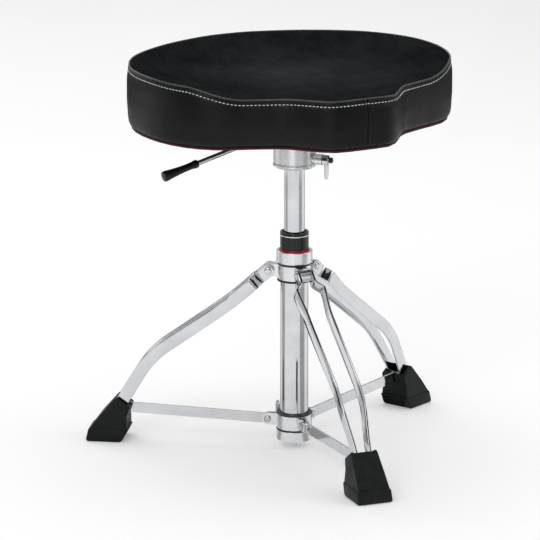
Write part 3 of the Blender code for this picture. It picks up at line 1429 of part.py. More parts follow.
def rear_reach(outline):
    """How far the turned seat reaches behind the column's axis."""
    turn = Matrix.Rotation(radians(SEAT_TURN), 2)
    return max((turn @ Vector(point)).y for point in seat_ring(outline, -WALL_BULGE))


def main():
    clear_scene()
    chrome = make_material("chrome", (0.78, 0.79, 0.80), 0.12, 1.0)
    cast = make_material("satin_cast", (0.72, 0.73, 0.74), 0.32, 1.0)
    steel = make_material("zinc_steel", (0.55, 0.56, 0.58), 0.35, 1.0)
    black = make_material("black_plastic", (0.02, 0.02, 0.02), 0.40, 0.0)
    rubber = make_material("black_rubber", (0.03, 0.032, 0.03), 0.65, 0.0)
    red = make_material("red_anodised", (0.38, 0.03, 0.04), 0.35, 0.6)
    silver = make_material("silver_trim", (0.80, 0.80, 0.80), 0.25, 1.0)
    wood = make_material("plywood", (0.55, 0.40, 0.24), 0.60, 0.0)
    red_cloth = make_material("crimson_cloth", (0.20, 0.02, 0.03), 0.85, 0.0)
    vinyl = make_material("black_vinyl", (0.02, 0.02, 0.022), 0.45, 0.0)

    outline = seat_outline()
    column_y = (FOOT_TOE - rear_reach(outline)) / 2
    frame = add_empty("column_axis", (0, column_y, 0))
    add_column(frame, chrome, black, red, silver, steel, cast)
    add_upper_bracket(frame, cast, black, steel)
    mover, home = add_lower_bracket(frame, cast, black, steel, chrome)
    for side_name, turn in LEG_TURNS.items():
        add_leg(side_name, mover, home, turn, chrome, rubber, steel)
    lift, seat_home = add_gas_spring(frame, chrome, steel)
    add_hub(lift, seat_home, cast, steel, chrome, black)
    add_lever(lift, seat_home, chrome, rubber)
    add_seat(lift, seat_home, outline, (steel, wood, red_cloth, vinyl))


main()
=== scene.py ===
"""The looks of the drum throne: a sewn saddle cushion, chrome, cast, rubber and cloth finishes, a plain
studio and the camera. Metres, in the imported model's frame: +Z up, the front leg towards -Y."""

import json
from math import atan2, cos, degrees, exp, pi, radians, sin, tan

import bmesh
import bpy
from mathutils import Matrix, Vector
from mathutils.bvhtree import BVHTree

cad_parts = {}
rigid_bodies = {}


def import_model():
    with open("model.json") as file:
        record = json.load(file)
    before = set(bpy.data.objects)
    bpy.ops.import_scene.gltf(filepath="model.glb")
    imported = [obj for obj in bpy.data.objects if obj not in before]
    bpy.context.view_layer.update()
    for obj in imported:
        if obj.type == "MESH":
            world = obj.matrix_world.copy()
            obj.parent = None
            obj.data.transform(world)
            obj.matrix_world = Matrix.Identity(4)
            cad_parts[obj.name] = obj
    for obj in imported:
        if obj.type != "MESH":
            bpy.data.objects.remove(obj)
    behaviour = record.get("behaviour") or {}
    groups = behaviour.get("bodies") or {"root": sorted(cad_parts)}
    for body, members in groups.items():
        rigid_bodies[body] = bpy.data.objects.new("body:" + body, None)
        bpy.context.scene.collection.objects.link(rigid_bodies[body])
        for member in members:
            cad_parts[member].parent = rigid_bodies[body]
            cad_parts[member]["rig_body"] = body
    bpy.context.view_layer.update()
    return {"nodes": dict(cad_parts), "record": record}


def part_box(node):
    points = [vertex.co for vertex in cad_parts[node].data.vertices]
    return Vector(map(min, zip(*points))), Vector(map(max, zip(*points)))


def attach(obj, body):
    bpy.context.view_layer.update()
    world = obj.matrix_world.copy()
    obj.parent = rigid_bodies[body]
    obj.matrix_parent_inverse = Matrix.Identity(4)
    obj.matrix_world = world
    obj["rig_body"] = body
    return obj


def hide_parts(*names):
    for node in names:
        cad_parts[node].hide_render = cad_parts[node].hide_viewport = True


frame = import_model()

# ---- the frame's own places ----
COLUMN_LOW, COLUMN_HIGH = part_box("column_tube")
COLUMN_Y = (COLUMN_LOW.y + COLUMN_HIGH.y) / 2
RING_GAP = 0.0003

# ---- seat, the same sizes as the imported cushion's ----
SEAT_TURN = 6.4
SEAT_HALF_WIDTH = 0.2185
NOSE_REACH = 0.1900
REAR_REACH = 0.2010
NOSE_HALF_WIDTH = 0.0640
THIGH_REACH = 0.1370
SEAT_BOTTOM = 0.4500
NOSE_TOP = 0.5145
THIGH_TOP = 0.5120
WING_TOP = 0.5295
DISH_TOP = 0.5040
WALL_BULGE = 0.0030
RIM_INSET = 0.0040
BOTTOM_RADIUS = 0.0060
RECESS_INSET = 0.0137
RECESS_TOP = 0.4623
SEAT_COLUMNS = 240
SEAM_ANGLES = (radians(1.4), pi)
START_SMALLER = 0.0012
SWELL_CAP = 0.0030
SWELL_FRAMES = 16
SWELL_PRESSURE = 4.0
DISH_CURVE = 4
FLAT_MIDDLE_ROWS = 4
RIM_BAND = 0.0100
WALL_SHARES = (0.10, 0.22, 0.36, 0.50, 0.64, 0.78, 0.90)
RIM_DROPS = (RIM_BAND, 0.0080, 0.0066, 0.0060, 0.0054, 0.0042, 0.0030, 0.0018, 0.0008)
TOP_SCALES = (0.994, 0.985, 0.970, 0.950, 0.925, 0.900, 0.870, 0.840, 0.800, 0.760, 0.715, 0.670)
TOP_SCALES += (0.620, 0.570, 0.510, 0.450, 0.390, 0.320, 0.250, 0.180, 0.110, 0.050)
STITCH_DROP = 0.0060
STITCH_LENGTH = 0.0036
STITCH_PITCH = 0.0052
STITCH_RADIUS = 0.00058
STITCH_SAMPLES = 1440
STITCH_PRESS = (0.00055, 0.0011)
PUCKER_PRESS = (0.00022, 0.0045)
PUCKER_PITCH = 0.0110
MEAN_REACH = 0.2
SEAM_PRESS = (0.0023, 0.0017)
SEAM_SHOULDER = (0.0007, 0.0046, 0.0022)
WELT_RADIUS = 0.0012
WELT_STEPS = 480

# ---- lever and its grip: (distance along, radius) ----
LEVER_HEIGHT = 0.4352
LEVER_REACH = 0.1950
LEVER_BEND_REACH = 0.0340
LEVER_DROP = 14.3
GRIP_PROFILE = (
    (0.0010, 0.0036), (0.0000, 0.0042), (0.0002, 0.0048), (0.0010, 0.0053), (0.0030, 0.0056),
    (0.0052, 0.0054), (0.0075, 0.0049), (0.0110, 0.0046), (0.0180, 0.0047), (0.0270, 0.0051),
    (0.0350, 0.0057), (0.0420, 0.0064), (0.0465, 0.0070), (0.0495, 0.0072), (0.0510, 0.0070),
    (0.0518, 0.0064), (0.0520, 0.0054),
)

# ---- leg bars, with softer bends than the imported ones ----
LEG_PIVOT = (0.0343, 0.2448)
LEG_BEND = (0.0848, 0.1991)
LEG_KNEE = (0.1943, 0.1202)
LEG_PIN = (0.2397, 0.0450)
BAR_SIDES = {"a": -1, "b": 1}
BAR_HEIGHT = 0.0170
BAR_THICKNESS = 0.0034
BAR_EDGE = 0.0008
BAR_END_PAST_PIN = 0.0100
BEND_RADIUS = 0.4500
KNEE_RADIUS = 0.1300
PIVOT_SPREAD = 0.0095
JOGGLE_START = 0.0130
JOGGLE_END = 0.0270
JOGGLE_SPREAD = 0.0195
BEND_SPREAD = 0.0165
KNEE_SPREAD = 0.0160
PIN_SPREAD = 0.0098
PIN_HEAD_RADIUS = 0.0052
PIN_HEAD_PROFILE = ((1.0, -0.0004), (1.0, 0.0005), (0.95, 0.0010), (0.82, 0.0014), (0.60, 0.0018))
PIN_HEAD_PROFILE += ((0.30, 0.0020),)
STATION_PITCH = 0.0022

# ---- feet ----
LEG_TURNS = {"front": -90.0, "right": 30.0, "left": 150.0}
FOOT_TOE = 0.2810
FOOT_HEEL = 0.2265
FOOT_HALF_WIDTH = 0.0235
FOOT_SIDE_SLOPE = 0.0826
FOOT_CORNER = 0.0035
SLOPE_HEIGHT = 0.0155
HEEL_SLOPE = 0.0085
TOE_SLOPE = 0.0030
BAND_HIGH = 0.0170
BAND_STAND = 0.0015

# ---- camera ----
CAMERA_DISTANCE = 5.495
CAMERA_AZIMUTH = 22.06
CAMERA_HEIGHT = 1.689
CAMERA_TILT = 14.73
CAMERA_HEADING = 21.72
CAMERA_LENS = 283.3

# ---- studio: wedges as (turn from the camera, half width, shade), angles in degrees ----
NEAR_WEDGES = ((-144.0, 7.0, 0.012), (146.0, 7.0, 0.012), (70.0, 20.0, 0.50), (-100.0, 18.0, 0.55))
FAR_WEDGES = ((-57.0, 30.0, 0.012), (40.0, 38.0, 0.012), (142.0, 30.0, 0.012), (-145.0, 28.0, 0.012))
JOGGLE_CARD = (0.75, -2.05, 1.45)
JOGGLE_CARD_SIZE = 1.15
CARD_SHADE = 0.01
NEAR_REACH = (0.03, 1.6)
FAR_REACH = (1.85, 7.0)
FLOOR_HALF = 9.0
FLOOR_GLOW = 0.20
WORLD_STRENGTH = 0.56


# ---- node tools ----
class Finish:
    """A material with its shader and short ways to add procedural detail to it."""

    def __init__(self, name, colour, roughness, metallic=0.0):
        self.material = bpy.data.materials.new(name)
        self.material.use_nodes = True
        self.tree = self.material.node_tree
        self.shader = self.tree.nodes["Principled BSDF"]
        self.set("Base Color", (*colour, 1.0))
        self.set("Roughness", roughness)
        self.set("Metallic", metallic)
        self.place = self.add("ShaderNodeTexCoord").outputs["Object"]

    def add(self, kind, **values):
        node = self.tree.nodes.new(kind)
        for key, value in values.items():
            setattr(node, key, value)
        return node

    def set(self, socket, value):
        self.shader.inputs[socket].default_value = value

    def link(self, output, target):
        self.tree.links.new(output, target)

    def stretched(self, scale):
        mapping = self.add("ShaderNodeMapping")
        mapping.inputs["Scale"].default_value = scale
        self.link(self.place, mapping.inputs["Vector"])
        return mapping.outputs["Vector"]

    def noise(self, scale, detail=4.0, stretch=None):
        node = self.add("ShaderNodeTexNoise")
        node.inputs["Scale"].default_value = scale
        node.inputs["Detail"].default_value = detail
        self.link(self.stretched(stretch) if stretch else self.place, node.inputs["Vector"])
        return node.outputs["Fac"]

    def cells(self, scale, feature="DISTANCE_TO_EDGE"):
        node = self.add("ShaderNodeTexVoronoi", feature=feature)
        node.inputs["Scale"].default_value = scale
        self.link(self.place, node.inputs["Vector"])
        return node.outputs["Distance"]

    def away_from(self, point):
        node = self.add("ShaderNodeVectorMath", operation="DISTANCE")
        node.inputs[1].default_value = point
        self.link(self.place, node.inputs[0])
        return node.outputs["Value"]

    def waves(self, scale, direction, distortion=0.0):
        node = self.add("ShaderNodeTexWave", bands_direction=direction)
        node.inputs["Scale"].default_value = scale
        node.inputs["Distortion"].default_value = distortion
        self.link(self.place, node.inputs["Vector"])
        return node.outputs["Fac"]

    def sum(self, first, second, operation="ADD"):
        node = self.add("ShaderNodeMath", operation=operation)
        self.link(first, node.inputs[0])
        if isinstance(second, float):
            node.inputs[1].default_value = second
        else:
            self.link(second, node.inputs[1])
        return node.outputs[0]

    def spread(self, value, low, high, start=0.3, end=0.7):
        """The value, rescaled from start..end to low..high."""
        node = self.add("ShaderNodeMapRange")
        for socket, number in (("From Min", start), ("From Max", end), ("To Min", low), ("To Max", high)):
            node.inputs[socket].default_value = number
        self.link(value, node.inputs["Value"])
        return node.outputs["Result"]

    def blend(self, value, dark, light):
        node = self.add("ShaderNodeMix", data_type="RGBA")
        node.inputs[6].default_value = (*dark, 1.0)
        node.inputs[7].default_value = (*light, 1.0)
        self.link(value, node.inputs[0])
        return node.outputs[2]

    def colour(self, output):
        self.link(output, self.shader.inputs["Base Color"])

    def rough(self, output):
        self.link(output, self.shader.inputs["Roughness"])

    def bump(self, layers):
        """Bump from (height, strength, distance) layers, coarse to fine."""
        before = None
        for height, strength, distance in layers:
            node = self.add("ShaderNodeBump")
            node.inputs["Strength"].default_value = strength
            node.inputs["Distance"].default_value = distance
            self.link(height, node.inputs["Height"])
            if before:
                self.link(before, node.inputs["Normal"])
            before = node.outputs["Normal"]
        self.link(before, self.shader.inputs["Normal"])


# ---- finishes ----
def chrome():
    """Polished plating: nearly even, with faint ripples, specks and fine hairlines."""
    f = Finish("chrome", (0.62, 0.63, 0.65), 0.10, 1.0)
    haze = f.noise(34.0, 5.0)
    specks = f.spread(f.noise(900.0, 2.0), 0.0, 0.06, 0.68, 0.78)
    f.rough(f.sum(f.spread(haze, 0.06, 0.10), specks))
    f.colour(f.blend(f.spread(haze, 0.0, 1.0), (0.60, 0.61, 0.63), (0.70, 0.71, 0.73)))
    ripple = f.noise(55.0, 2.0)
    hairlines = f.noise(700.0, 3.0, (1.0, 1.0, 0.06))
    f.bump([(ripple, 0.025, 0.0006), (hairlines, 0.03, 0.0001)])
    return f


def satin_cast():
    """Tumbled zinc casting, satin plated: an even sparkle and softly worn high spots."""
    f = Finish("satin_cast", (0.80, 0.81, 0.82), 0.28, 1.0)
    patches = f.noise(60.0, 5.0)
    grain = f.noise(2200.0, 3.0)
    f.rough(f.spread(patches, 0.20, 0.34))
    f.colour(f.blend(f.spread(patches, 0.0, 1.0), (0.74, 0.75, 0.76), (0.86, 0.86, 0.87)))
    f.bump([(patches, 0.03, 0.0005), (grain, 0.07, 0.00010)])
    return f


def zinc_steel():
    """Bright zinc on turned steel, with turning lines and a slight yellow-blue cast."""
    f = Finish("zinc_steel", (0.55, 0.56, 0.58), 0.34, 1.0)
    cast = f.noise(90.0, 3.0)
    lines = f.waves(900.0, "Z", 1.5)
    f.colour(f.blend(f.spread(cast, 0.0, 1.0), (0.55, 0.54, 0.50), (0.62, 0.65, 0.70)))
    f.rough(f.spread(cast, 0.26, 0.42))
    f.bump([(lines, 0.12, 0.0001), (f.noise(1500.0), 0.06, 0.0001)])
    return f


def black_nylon():
    """Moulded nylon: matte, finely spark-textured, with paler rubbed patches."""
    f = Finish("black_nylon", (0.018, 0.018, 0.019), 0.45)
    pale_mottle = f.noise(120.0, 4.0)
    f.colour(f.blend(f.spread(pale_mottle, 0.0, 1.0), (0.012, 0.012, 0.013), (0.030, 0.030, 0.031)))
    f.rough(f.spread(pale_mottle, 0.36, 0.52))
    f.bump([(f.noise(2600.0, 2.0), 0.25, 0.00012)])
    return f


def gland_black():
    """Glossy moulded nut with fine vertical flow marks."""
    f = Finish("gland_black", (0.006, 0.009, 0.008), 0.20)
    f.set("Specular IOR Level", 0.34)
    flow = f.noise(260.0, 3.0, (1.0, 1.0, 0.12))
    f.colour(f.blend(f.spread(flow, 0.0, 1.0), (0.005, 0.008, 0.007), (0.012, 0.017, 0.015)))
    f.rough(f.spread(flow, 0.16, 0.30))
    f.bump([(flow, 0.08, 0.0002), (f.noise(2000.0, 2.0), 0.06, 0.0001)])
    return f


def silver_trim():
    """Thin bright aluminium ring with turning lines."""
    f = Finish("silver_trim", (0.86, 0.86, 0.87), 0.22, 1.0)
    lines = f.waves(1600.0, "Z", 0.6)
    f.rough(f.spread(f.noise(300.0), 0.16, 0.30))
    f.colour(f.blend(lines, (0.80, 0.80, 0.81), (0.92, 0.92, 0.92)))
    f.bump([(lines, 0.10, 0.00008)])
    return f


def red_ring():
    """Red anodised aluminium: coloured metal with turning lines and lighter edges of wear."""
    f = Finish("red_ring", (0.50, 0.02, 0.03), 0.28, 0.75)
    lines = f.waves(1300.0, "Z", 1.0)
    tone = f.noise(180.0, 3.0)
    f.colour(f.blend(f.spread(tone, 0.0, 1.0), (0.34, 0.012, 0.020), (0.62, 0.035, 0.045)))
    f.rough(f.spread(tone, 0.22, 0.36))
    f.bump([(lines, 0.10, 0.0001)])
    return f


def foot_rubber():
    """Moulded rubber: greenish black, matte, dusty in its pores and scuffed in patches."""
    f = Finish("foot_rubber", (0.007, 0.009, 0.0085), 0.50)
    f.set("Specular IOR Level", 0.18)
    scuffs = f.noise(70.0, 6.0)
    pores = f.noise(1700.0, 3.0)
    dust = f.sum(f.spread(scuffs, 0.0, 0.75), f.spread(pores, 0.0, 0.25))
    f.colour(f.blend(dust, (0.0045, 0.006, 0.0055), (0.013, 0.016, 0.015)))
    f.rough(f.spread(scuffs, 0.40, 0.60))
    f.bump([(f.noise(240.0, 4.0), 0.10, 0.0005), (pores, 0.30, 0.00015)])
    return f


def grip_rubber():
    """Dipped grip: smoother than the feet, with a soft gloss and shallow dimples."""
    f = Finish("grip_rubber", (0.006, 0.006, 0.007), 0.30)
    f.set("Specular IOR Level", 0.30)
    soft = f.noise(160.0, 3.0)
    f.colour(f.blend(f.spread(soft, 0.0, 1.0), (0.004, 0.004, 0.005), (0.010, 0.010, 0.011)))
    f.rough(f.spread(soft, 0.24, 0.38))
    f.bump([(soft, 0.12, 0.0004), (f.noise(1500.0, 2.0), 0.12, 0.0001)])
    return f


def plywood():
    """Birch plywood: layered edge, long soft grain and small pores."""
    f = Finish("plywood", (0.55, 0.40, 0.24), 0.60)
    layers = f.waves(110.0, "Z", 0.8)
    grain = f.noise(40.0, 6.0, (0.25, 3.0, 6.0))
    shade = f.sum(f.spread(grain, 0.0, 0.6), f.sum(layers, 0.4, "MULTIPLY"))
    f.colour(f.blend(shade, (0.42, 0.28, 0.15), (0.68, 0.52, 0.33)))
    f.rough(f.spread(grain, 0.50, 0.70))
    f.bump([(grain, 0.20, 0.0004)])
    return f


def underside_cloth():
    """Crimson non-woven backing: crossing threads, fuzz and a darker mottle."""
    f = Finish("underside_cloth", (0.10, 0.006, 0.012), 0.85)
    f.set("Sheen Weight", 0.05)
    f.set("Sheen Roughness", 0.5)
    warp = f.waves(330.0, "X", 0.6)
    weft = f.waves(330.0, "Y", 0.6)
    weave = f.sum(warp, weft, "MULTIPLY")
    mottle = f.noise(95.0, 5.0)
    shade = f.sum(f.sum(weave, 0.4, "MULTIPLY"), f.spread(mottle, 0.0, 0.6))
    f.colour(f.blend(shade, (0.030, 0.0015, 0.003), (0.095, 0.005, 0.009)))
    f.rough(f.spread(mottle, 0.78, 0.92))
    f.bump([(mottle, 0.15, 0.0005), (weave, 0.45, 0.0003)])
    return f


def underside_black():
    """Black dust cloth under the seat: a plain open weave with pale lint."""
    f = Finish("underside_black", (0.012, 0.012, 0.013), 0.9)
    weave = f.sum(f.waves(300.0, "X", 0.8), f.waves(300.0, "Y", 0.8), "MULTIPLY")
    lint = f.spread(f.noise(420.0, 5.0), 0.0, 0.5, 0.55, 0.75)
    shade = f.sum(lint, f.sum(weave, 0.4, "MULTIPLY"))
    f.colour(f.blend(shade, (0.006, 0.006, 0.007), (0.034, 0.034, 0.036)))
    f.rough(f.spread(lint, 0.85, 0.95))
    f.bump([(f.noise(70.0, 4.0), 0.15, 0.0008), (weave, 0.5, 0.0003)])
    return f


def seat_vinyl():
    """Semi-gloss leathercloth: irregular grain cells, fine creases and rubbed glossier patches."""
    f = Finish("seat_vinyl", (0.003, 0.0032, 0.0034), 0.34)
    f.set("Specular IOR Level", 0.22)
    cells = f.spread(f.cells(820.0), 0.0, 1.0, 0.0, 0.16)
    creases = f.noise(300.0, 5.0)
    patches = f.noise(14.0, 4.0)
    f.colour(f.blend(f.spread(patches, 0.0, 1.0), (0.0020, 0.0022, 0.0024), (0.0046, 0.0052, 0.0054)))
    f.rough(f.sum(f.spread(patches, 0.30, 0.40), f.spread(creases, -0.03, 0.05)))
    f.bump([(f.noise(28.0, 3.0), 0.10, 0.0020), (creases, 0.16, 0.0003), (cells, 0.30, 0.00012)])
    return f


def welt_vinyl():
    """The vinyl at the rolled edge: shinier, and painted paler than the walls as a painted highlight along
    the top edge, in uneven patches.
    """
    f = Finish("welt_vinyl", (0.030, 0.032, 0.033), 0.34)
    pale_mottle = f.noise(55.0, 4.0)
    # Painted highlight: the welt's colour is far paler than the wall vinyl's, mottled in patches.
    f.colour(f.blend(f.spread(pale_mottle, 0.0, 1.0), (0.016, 0.017, 0.018), (0.052, 0.055, 0.056)))
    f.rough(f.spread(pale_mottle, 0.26, 0.42))
    f.bump([(f.noise(420.0, 4.0), 0.25, 0.0003)])
    return f


def seat_pile():
    """Short black pile: soft sheen, brushed patches that lie either way, fine tufts, and a painted sheen:
    the colour is lighter towards the middle of the dish.
    """
    f = Finish("seat_pile", (0.003, 0.003, 0.0035), 0.92)
    f.set("Specular IOR Level", 0.0)
    f.set("Sheen Weight", 0.006)
    f.set("Sheen Roughness", 0.42)
    f.set("Sheen Tint", (0.72, 0.78, 0.84, 1.0))
    brushed = f.noise(11.0, 5.0)
    tufts = f.noise(620.0, 4.0)
    streaks = f.noise(85.0, 5.0, (1.0, 0.35, 1.0))
    # Painted sheen: the colour lightens towards a point near the middle of the dish, patchier where the pile
    # is brushed.
    painted_sheen_centre = f.spread(f.away_from((0.02, COLUMN_Y + 0.03, DISH_TOP)), 0.55, 0.0, 0.03, 0.15)
    lie = f.sum(f.spread(brushed, 0.0, 0.25), f.spread(streaks, 0.0, 0.15))
    painted_sheen_bloom = f.sum(painted_sheen_centre, f.spread(brushed, 0.4, 1.0), "MULTIPLY")
    shade = f.sum(f.sum(lie, f.spread(tufts, 0.0, 0.25)), painted_sheen_bloom)
    f.colour(f.blend(shade, (0.0012, 0.0013, 0.0015), (0.0330, 0.0370, 0.0390)))
    f.rough(f.spread(brushed, 0.86, 0.98))
    f.bump([(streaks, 0.20, 0.0012), (tufts, 0.55, 0.0007), (f.noise(1900.0, 2.0), 0.40, 0.0003)])
    return f


def thread():
    """White bonded thread: a twist along each stitch and slightly soiled patches."""
    f = Finish("thread", (0.82, 0.82, 0.80), 0.55)
    f.set("Sheen Weight", 0.2)
    twist = f.waves(1500.0, "DIAGONAL", 0.5)
    soil = f.noise(60.0, 3.0)
    f.colour(f.blend(f.spread(soil, 0.0, 1.0), (0.70, 0.69, 0.66), (0.90, 0.90, 0.88)))
    f.rough(f.spread(soil, 0.48, 0.62))
    f.bump([(twist, 0.40, 0.0002)])
    return f


MAKERS = (chrome, satin_cast, zinc_steel, black_nylon, gland_black, silver_trim, red_ring, foot_rubber)
MAKERS += (grip_rubber, plywood, underside_cloth, underside_black, seat_vinyl, seat_pile, thread, welt_vinyl)
FINISHES = {make.__name__: make().material for make in MAKERS}
NODE_SLOTS = {row["node"]: row["material_slot"] for row in frame["record"]["subparts"]}


# ---- shared sums ----
def around(count):
    """The angles of a ring of evenly spaced points."""
    return [2 * pi * step / count for step in range(count)]


def eased(value, stops):
    """What the (value, result) stops give at a value, with a soft turn at every stop."""
    for (start, low), (end, high) in zip(stops, stops[1:]):
        if value <= end:
            part = max(0.0, (value - start) / (end - start))
            return low + (high - low) * part * part * (3 - 2 * part)
    return stops[-1][1]


def about_column(turn):
    """Takes a mesh made about the origin to the column's axis, turned."""
    return Matrix.Translation((0, COLUMN_Y, 0)) @ Matrix.Rotation(radians(turn), 4, "Z")


# ---- mesh tools ----
def add_piece(name, mesh, material_names, body):
    mesh.name = name
    obj = bpy.data.objects.new(name, mesh)
    bpy.context.scene.collection.objects.link(obj)
    for material_name in material_names:
        mesh.materials.append(FINISHES[material_name])
    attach(obj, body)
    return obj


def stand_in(node, suffix, mesh):
    """A piece that rides the node's body, wears its finish and hides it."""
    slot = NODE_SLOTS[node]
    obj = add_piece(node + suffix, mesh, [slot], frame["nodes"][node]["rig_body"])
    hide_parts(node)
    return obj


def mesh_from(points, faces, sharp_angle=40.0):
    mesh = bpy.data.meshes.new("piece")
    mesh.from_pydata([tuple(point) for point in points], [], faces)
    shape = bmesh.new()
    shape.from_mesh(mesh)
    bmesh.ops.recalc_face_normals(shape, faces=shape.faces)
    shape.to_mesh(mesh)
    shape.free()
    mesh.shade_smooth()
    mesh.set_sharp_from_angle(angle=radians(sharp_angle))
    return mesh


def tube_faces(count, rows, closed_rows=False):
    """Quads between rings of equal point counts."""
    faces = []
    for row in range(rows if closed_rows else rows - 1):
        near = row * count
        far = ((row + 1) % rows) * count
        for step in range(count):
            after = (step + 1) % count
            faces.append((near + step, near + after, far + after, far + step))
    return faces


def even_shading(obj):
    """Lets the large faces set the normals, so that only the rolled edges look rounded."""
    modifier = obj.modifiers.new("weighted normals", "WEIGHTED_NORMAL")
    modifier.keep_sharp = True
    modifier.weight = 90


def rounded_profile(corners, radius, steps=4):
    """A loop of (radius, height) corners with each corner rounded off."""
    profile = []
    count = len(corners)
    for index in range(count):
        here = Vector(corners[index])
        back = Vector(corners[index - 1]) - here
        ahead = Vector(corners[(index + 1) % count]) - here
        cut = min(radius, 0.45 * back.length, 0.45 * ahead.length)
        start = here + back.normalized() * cut
        end = here + ahead.normalized() * cut
        for step in range(steps + 1):
            t = step / steps
            point = start.lerp(here, t).lerp(here.lerp(end, t), t)
            profile.append((point.x, point.y))
    return profile


def turned_piece(node, corners, edge, sides=96):
    """A finely turned ring about the column's axis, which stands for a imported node."""
    profile = rounded_profile(corners, edge)
    points = []
    for radius, height in profile:
        for angle in around(sides):
            points.append((radius * cos(angle), COLUMN_Y + radius * sin(angle), height))
    mesh = mesh_from(points, tube_faces(sides, len(profile), True))
    even_shading(stand_in(node, "_turned", mesh))


def refined_piece(node, edge):
    """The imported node's own shape with joined faces, eased edges and smooth shading."""
    shape = bmesh.new()
    shape.from_mesh(frame["nodes"][node].data)
    bmesh.ops.remove_doubles(shape, verts=shape.verts, dist=2e-6)
    bmesh.ops.dissolve_limit(shape, angle_limit=radians(0.4), verts=shape.verts, edges=shape.edges)
    bmesh.ops.recalc_face_normals(shape, faces=shape.faces)
    sharp = radians(SHARP_EDGE)
    edges = [e for e in shape.edges if len(e.link_faces) == 2 and e.calc_face_angle(0.0) > sharp]
    bmesh.ops.bevel(
        shape, geom=edges, offset=edge, segments=2, profile=0.5, affect="EDGES", clamp_overlap=True
    )
    mesh = bpy.data.meshes.new(node)
    shape.to_mesh(mesh)
    shape.free()
    mesh.shade_smooth()
    mesh.set_sharp_from_angle(angle=radians(50))
    obj = stand_in(node, "_fine", mesh)
    even_shading(obj)
    return obj


# ---- the cushion ----
def smooth_loop(points, steps):
    """A smooth closed curve through the points (Catmull-Rom)."""
    curve = []
    count = len(points)
    for index in range(count):
        a, b, c, d = (Vector(points[(index + shift) % count]) for shift in (-1, 0, 1, 2))
        for step in range(steps):
            t = step / steps
            bend = (2 * a - 5 * b + 4 * c - d) * t * t + (3 * b - a - 3 * c + d) * t**3
            curve.append(0.5 * (2 * b + (c - a) * t + bend))
    return curve


def seat_loop():
    """The seat's outline at its bottom as (angle, point), with the nose along -Y."""
    half = [
        (0.66 * NOSE_HALF_WIDTH, -NOSE_REACH + 0.0030),
        (NOSE_HALF_WIDTH, -NOSE_REACH + 0.0230),
        (NOSE_HALF_WIDTH + 0.0260, -THIGH_REACH),
        (0.58 * SEAT_HALF_WIDTH, -THIGH_REACH + 0.0180),
        (0.80 * SEAT_HALF_WIDTH, -THIGH_REACH + 0.0400),
        (0.94 * SEAT_HALF_WIDTH, -THIGH_REACH + 0.0800),
        (SEAT_HALF_WIDTH, 0.0),
        (0.97 * SEAT_HALF_WIDTH, 0.32 * REAR_REACH),
        (0.81 * SEAT_HALF_WIDTH, 0.62 * REAR_REACH),
        (0.53 * SEAT_HALF_WIDTH, 0.84 * REAR_REACH),
        (0.22 * SEAT_HALF_WIDTH, 0.97 * REAR_REACH),
    ]
    mirrored = [(-x, y) for x, y in reversed(half)]
    loop = smooth_loop([(0.0, -NOSE_REACH)] + half + [(0.0, REAR_REACH)] + mirrored, 12)
    return [(atan2(point.x, -point.y) % (2 * pi), point) for point in loop]


SEAT_LOOP = seat_loop()


def outline_radius(angle):
    """The outline's distance from the seat's middle in one direction."""
    wanted = angle % (2 * pi)
    for (here, near), (there, far) in zip(SEAT_LOOP, SEAT_LOOP[1:] + SEAT_LOOP[:1]):
        span = (there - here) % (2 * pi)
        part = (wanted - here) % (2 * pi)
        if 0 < span < pi and part <= span:
            return near.lerp(far, part / span).length
    return SEAT_LOOP[0][1].length


def rim_height(angle):
    """The height of the seat's top edge: low at the nose and thighs, high round the back."""
    away = abs((angle + pi) % (2 * pi) - pi)
    steps = [
        (0, NOSE_TOP),
        (22, NOSE_TOP - 0.001),
        (40, THIGH_TOP),
        (50, THIGH_TOP),
        (72, WING_TOP - 0.0015),
        (90, WING_TOP),
        (180, WING_TOP),
    ]
    return eased(degrees(away), steps)


def seat_point(angle, reach, height):
    """A point of the turned seat in the model's frame."""
    turn = angle + radians(SEAT_TURN)
    return Vector((reach * sin(turn), COLUMN_Y - reach * cos(turn), height))


def seat_angle(point):
    return (atan2(point.x, COLUMN_Y - point.y) - radians(SEAT_TURN)) % (2 * pi)


def wall_inset(share):
    """How far the wall stands inside the outline, a share of the way up."""
    stops = [(0.0, 0.0), (0.06, -0.3), (0.40, -1.0), (0.72, -0.9), (0.95, -0.1)]
    stops.append((1.0, 0.5 * RIM_INSET / WALL_BULGE))
    return WALL_BULGE * eased(share, stops)


def cushion_columns():
    """The directions of the mesh's columns, closer together at the two upright seams."""
    angles = around(SEAT_COLUMNS)
    for seam in SEAM_ANGLES:
        angles += [(seam + radians(shift)) % (2 * pi) for shift in (-0.7, -0.3, 0.3, 0.7)]
    return sorted(angles)


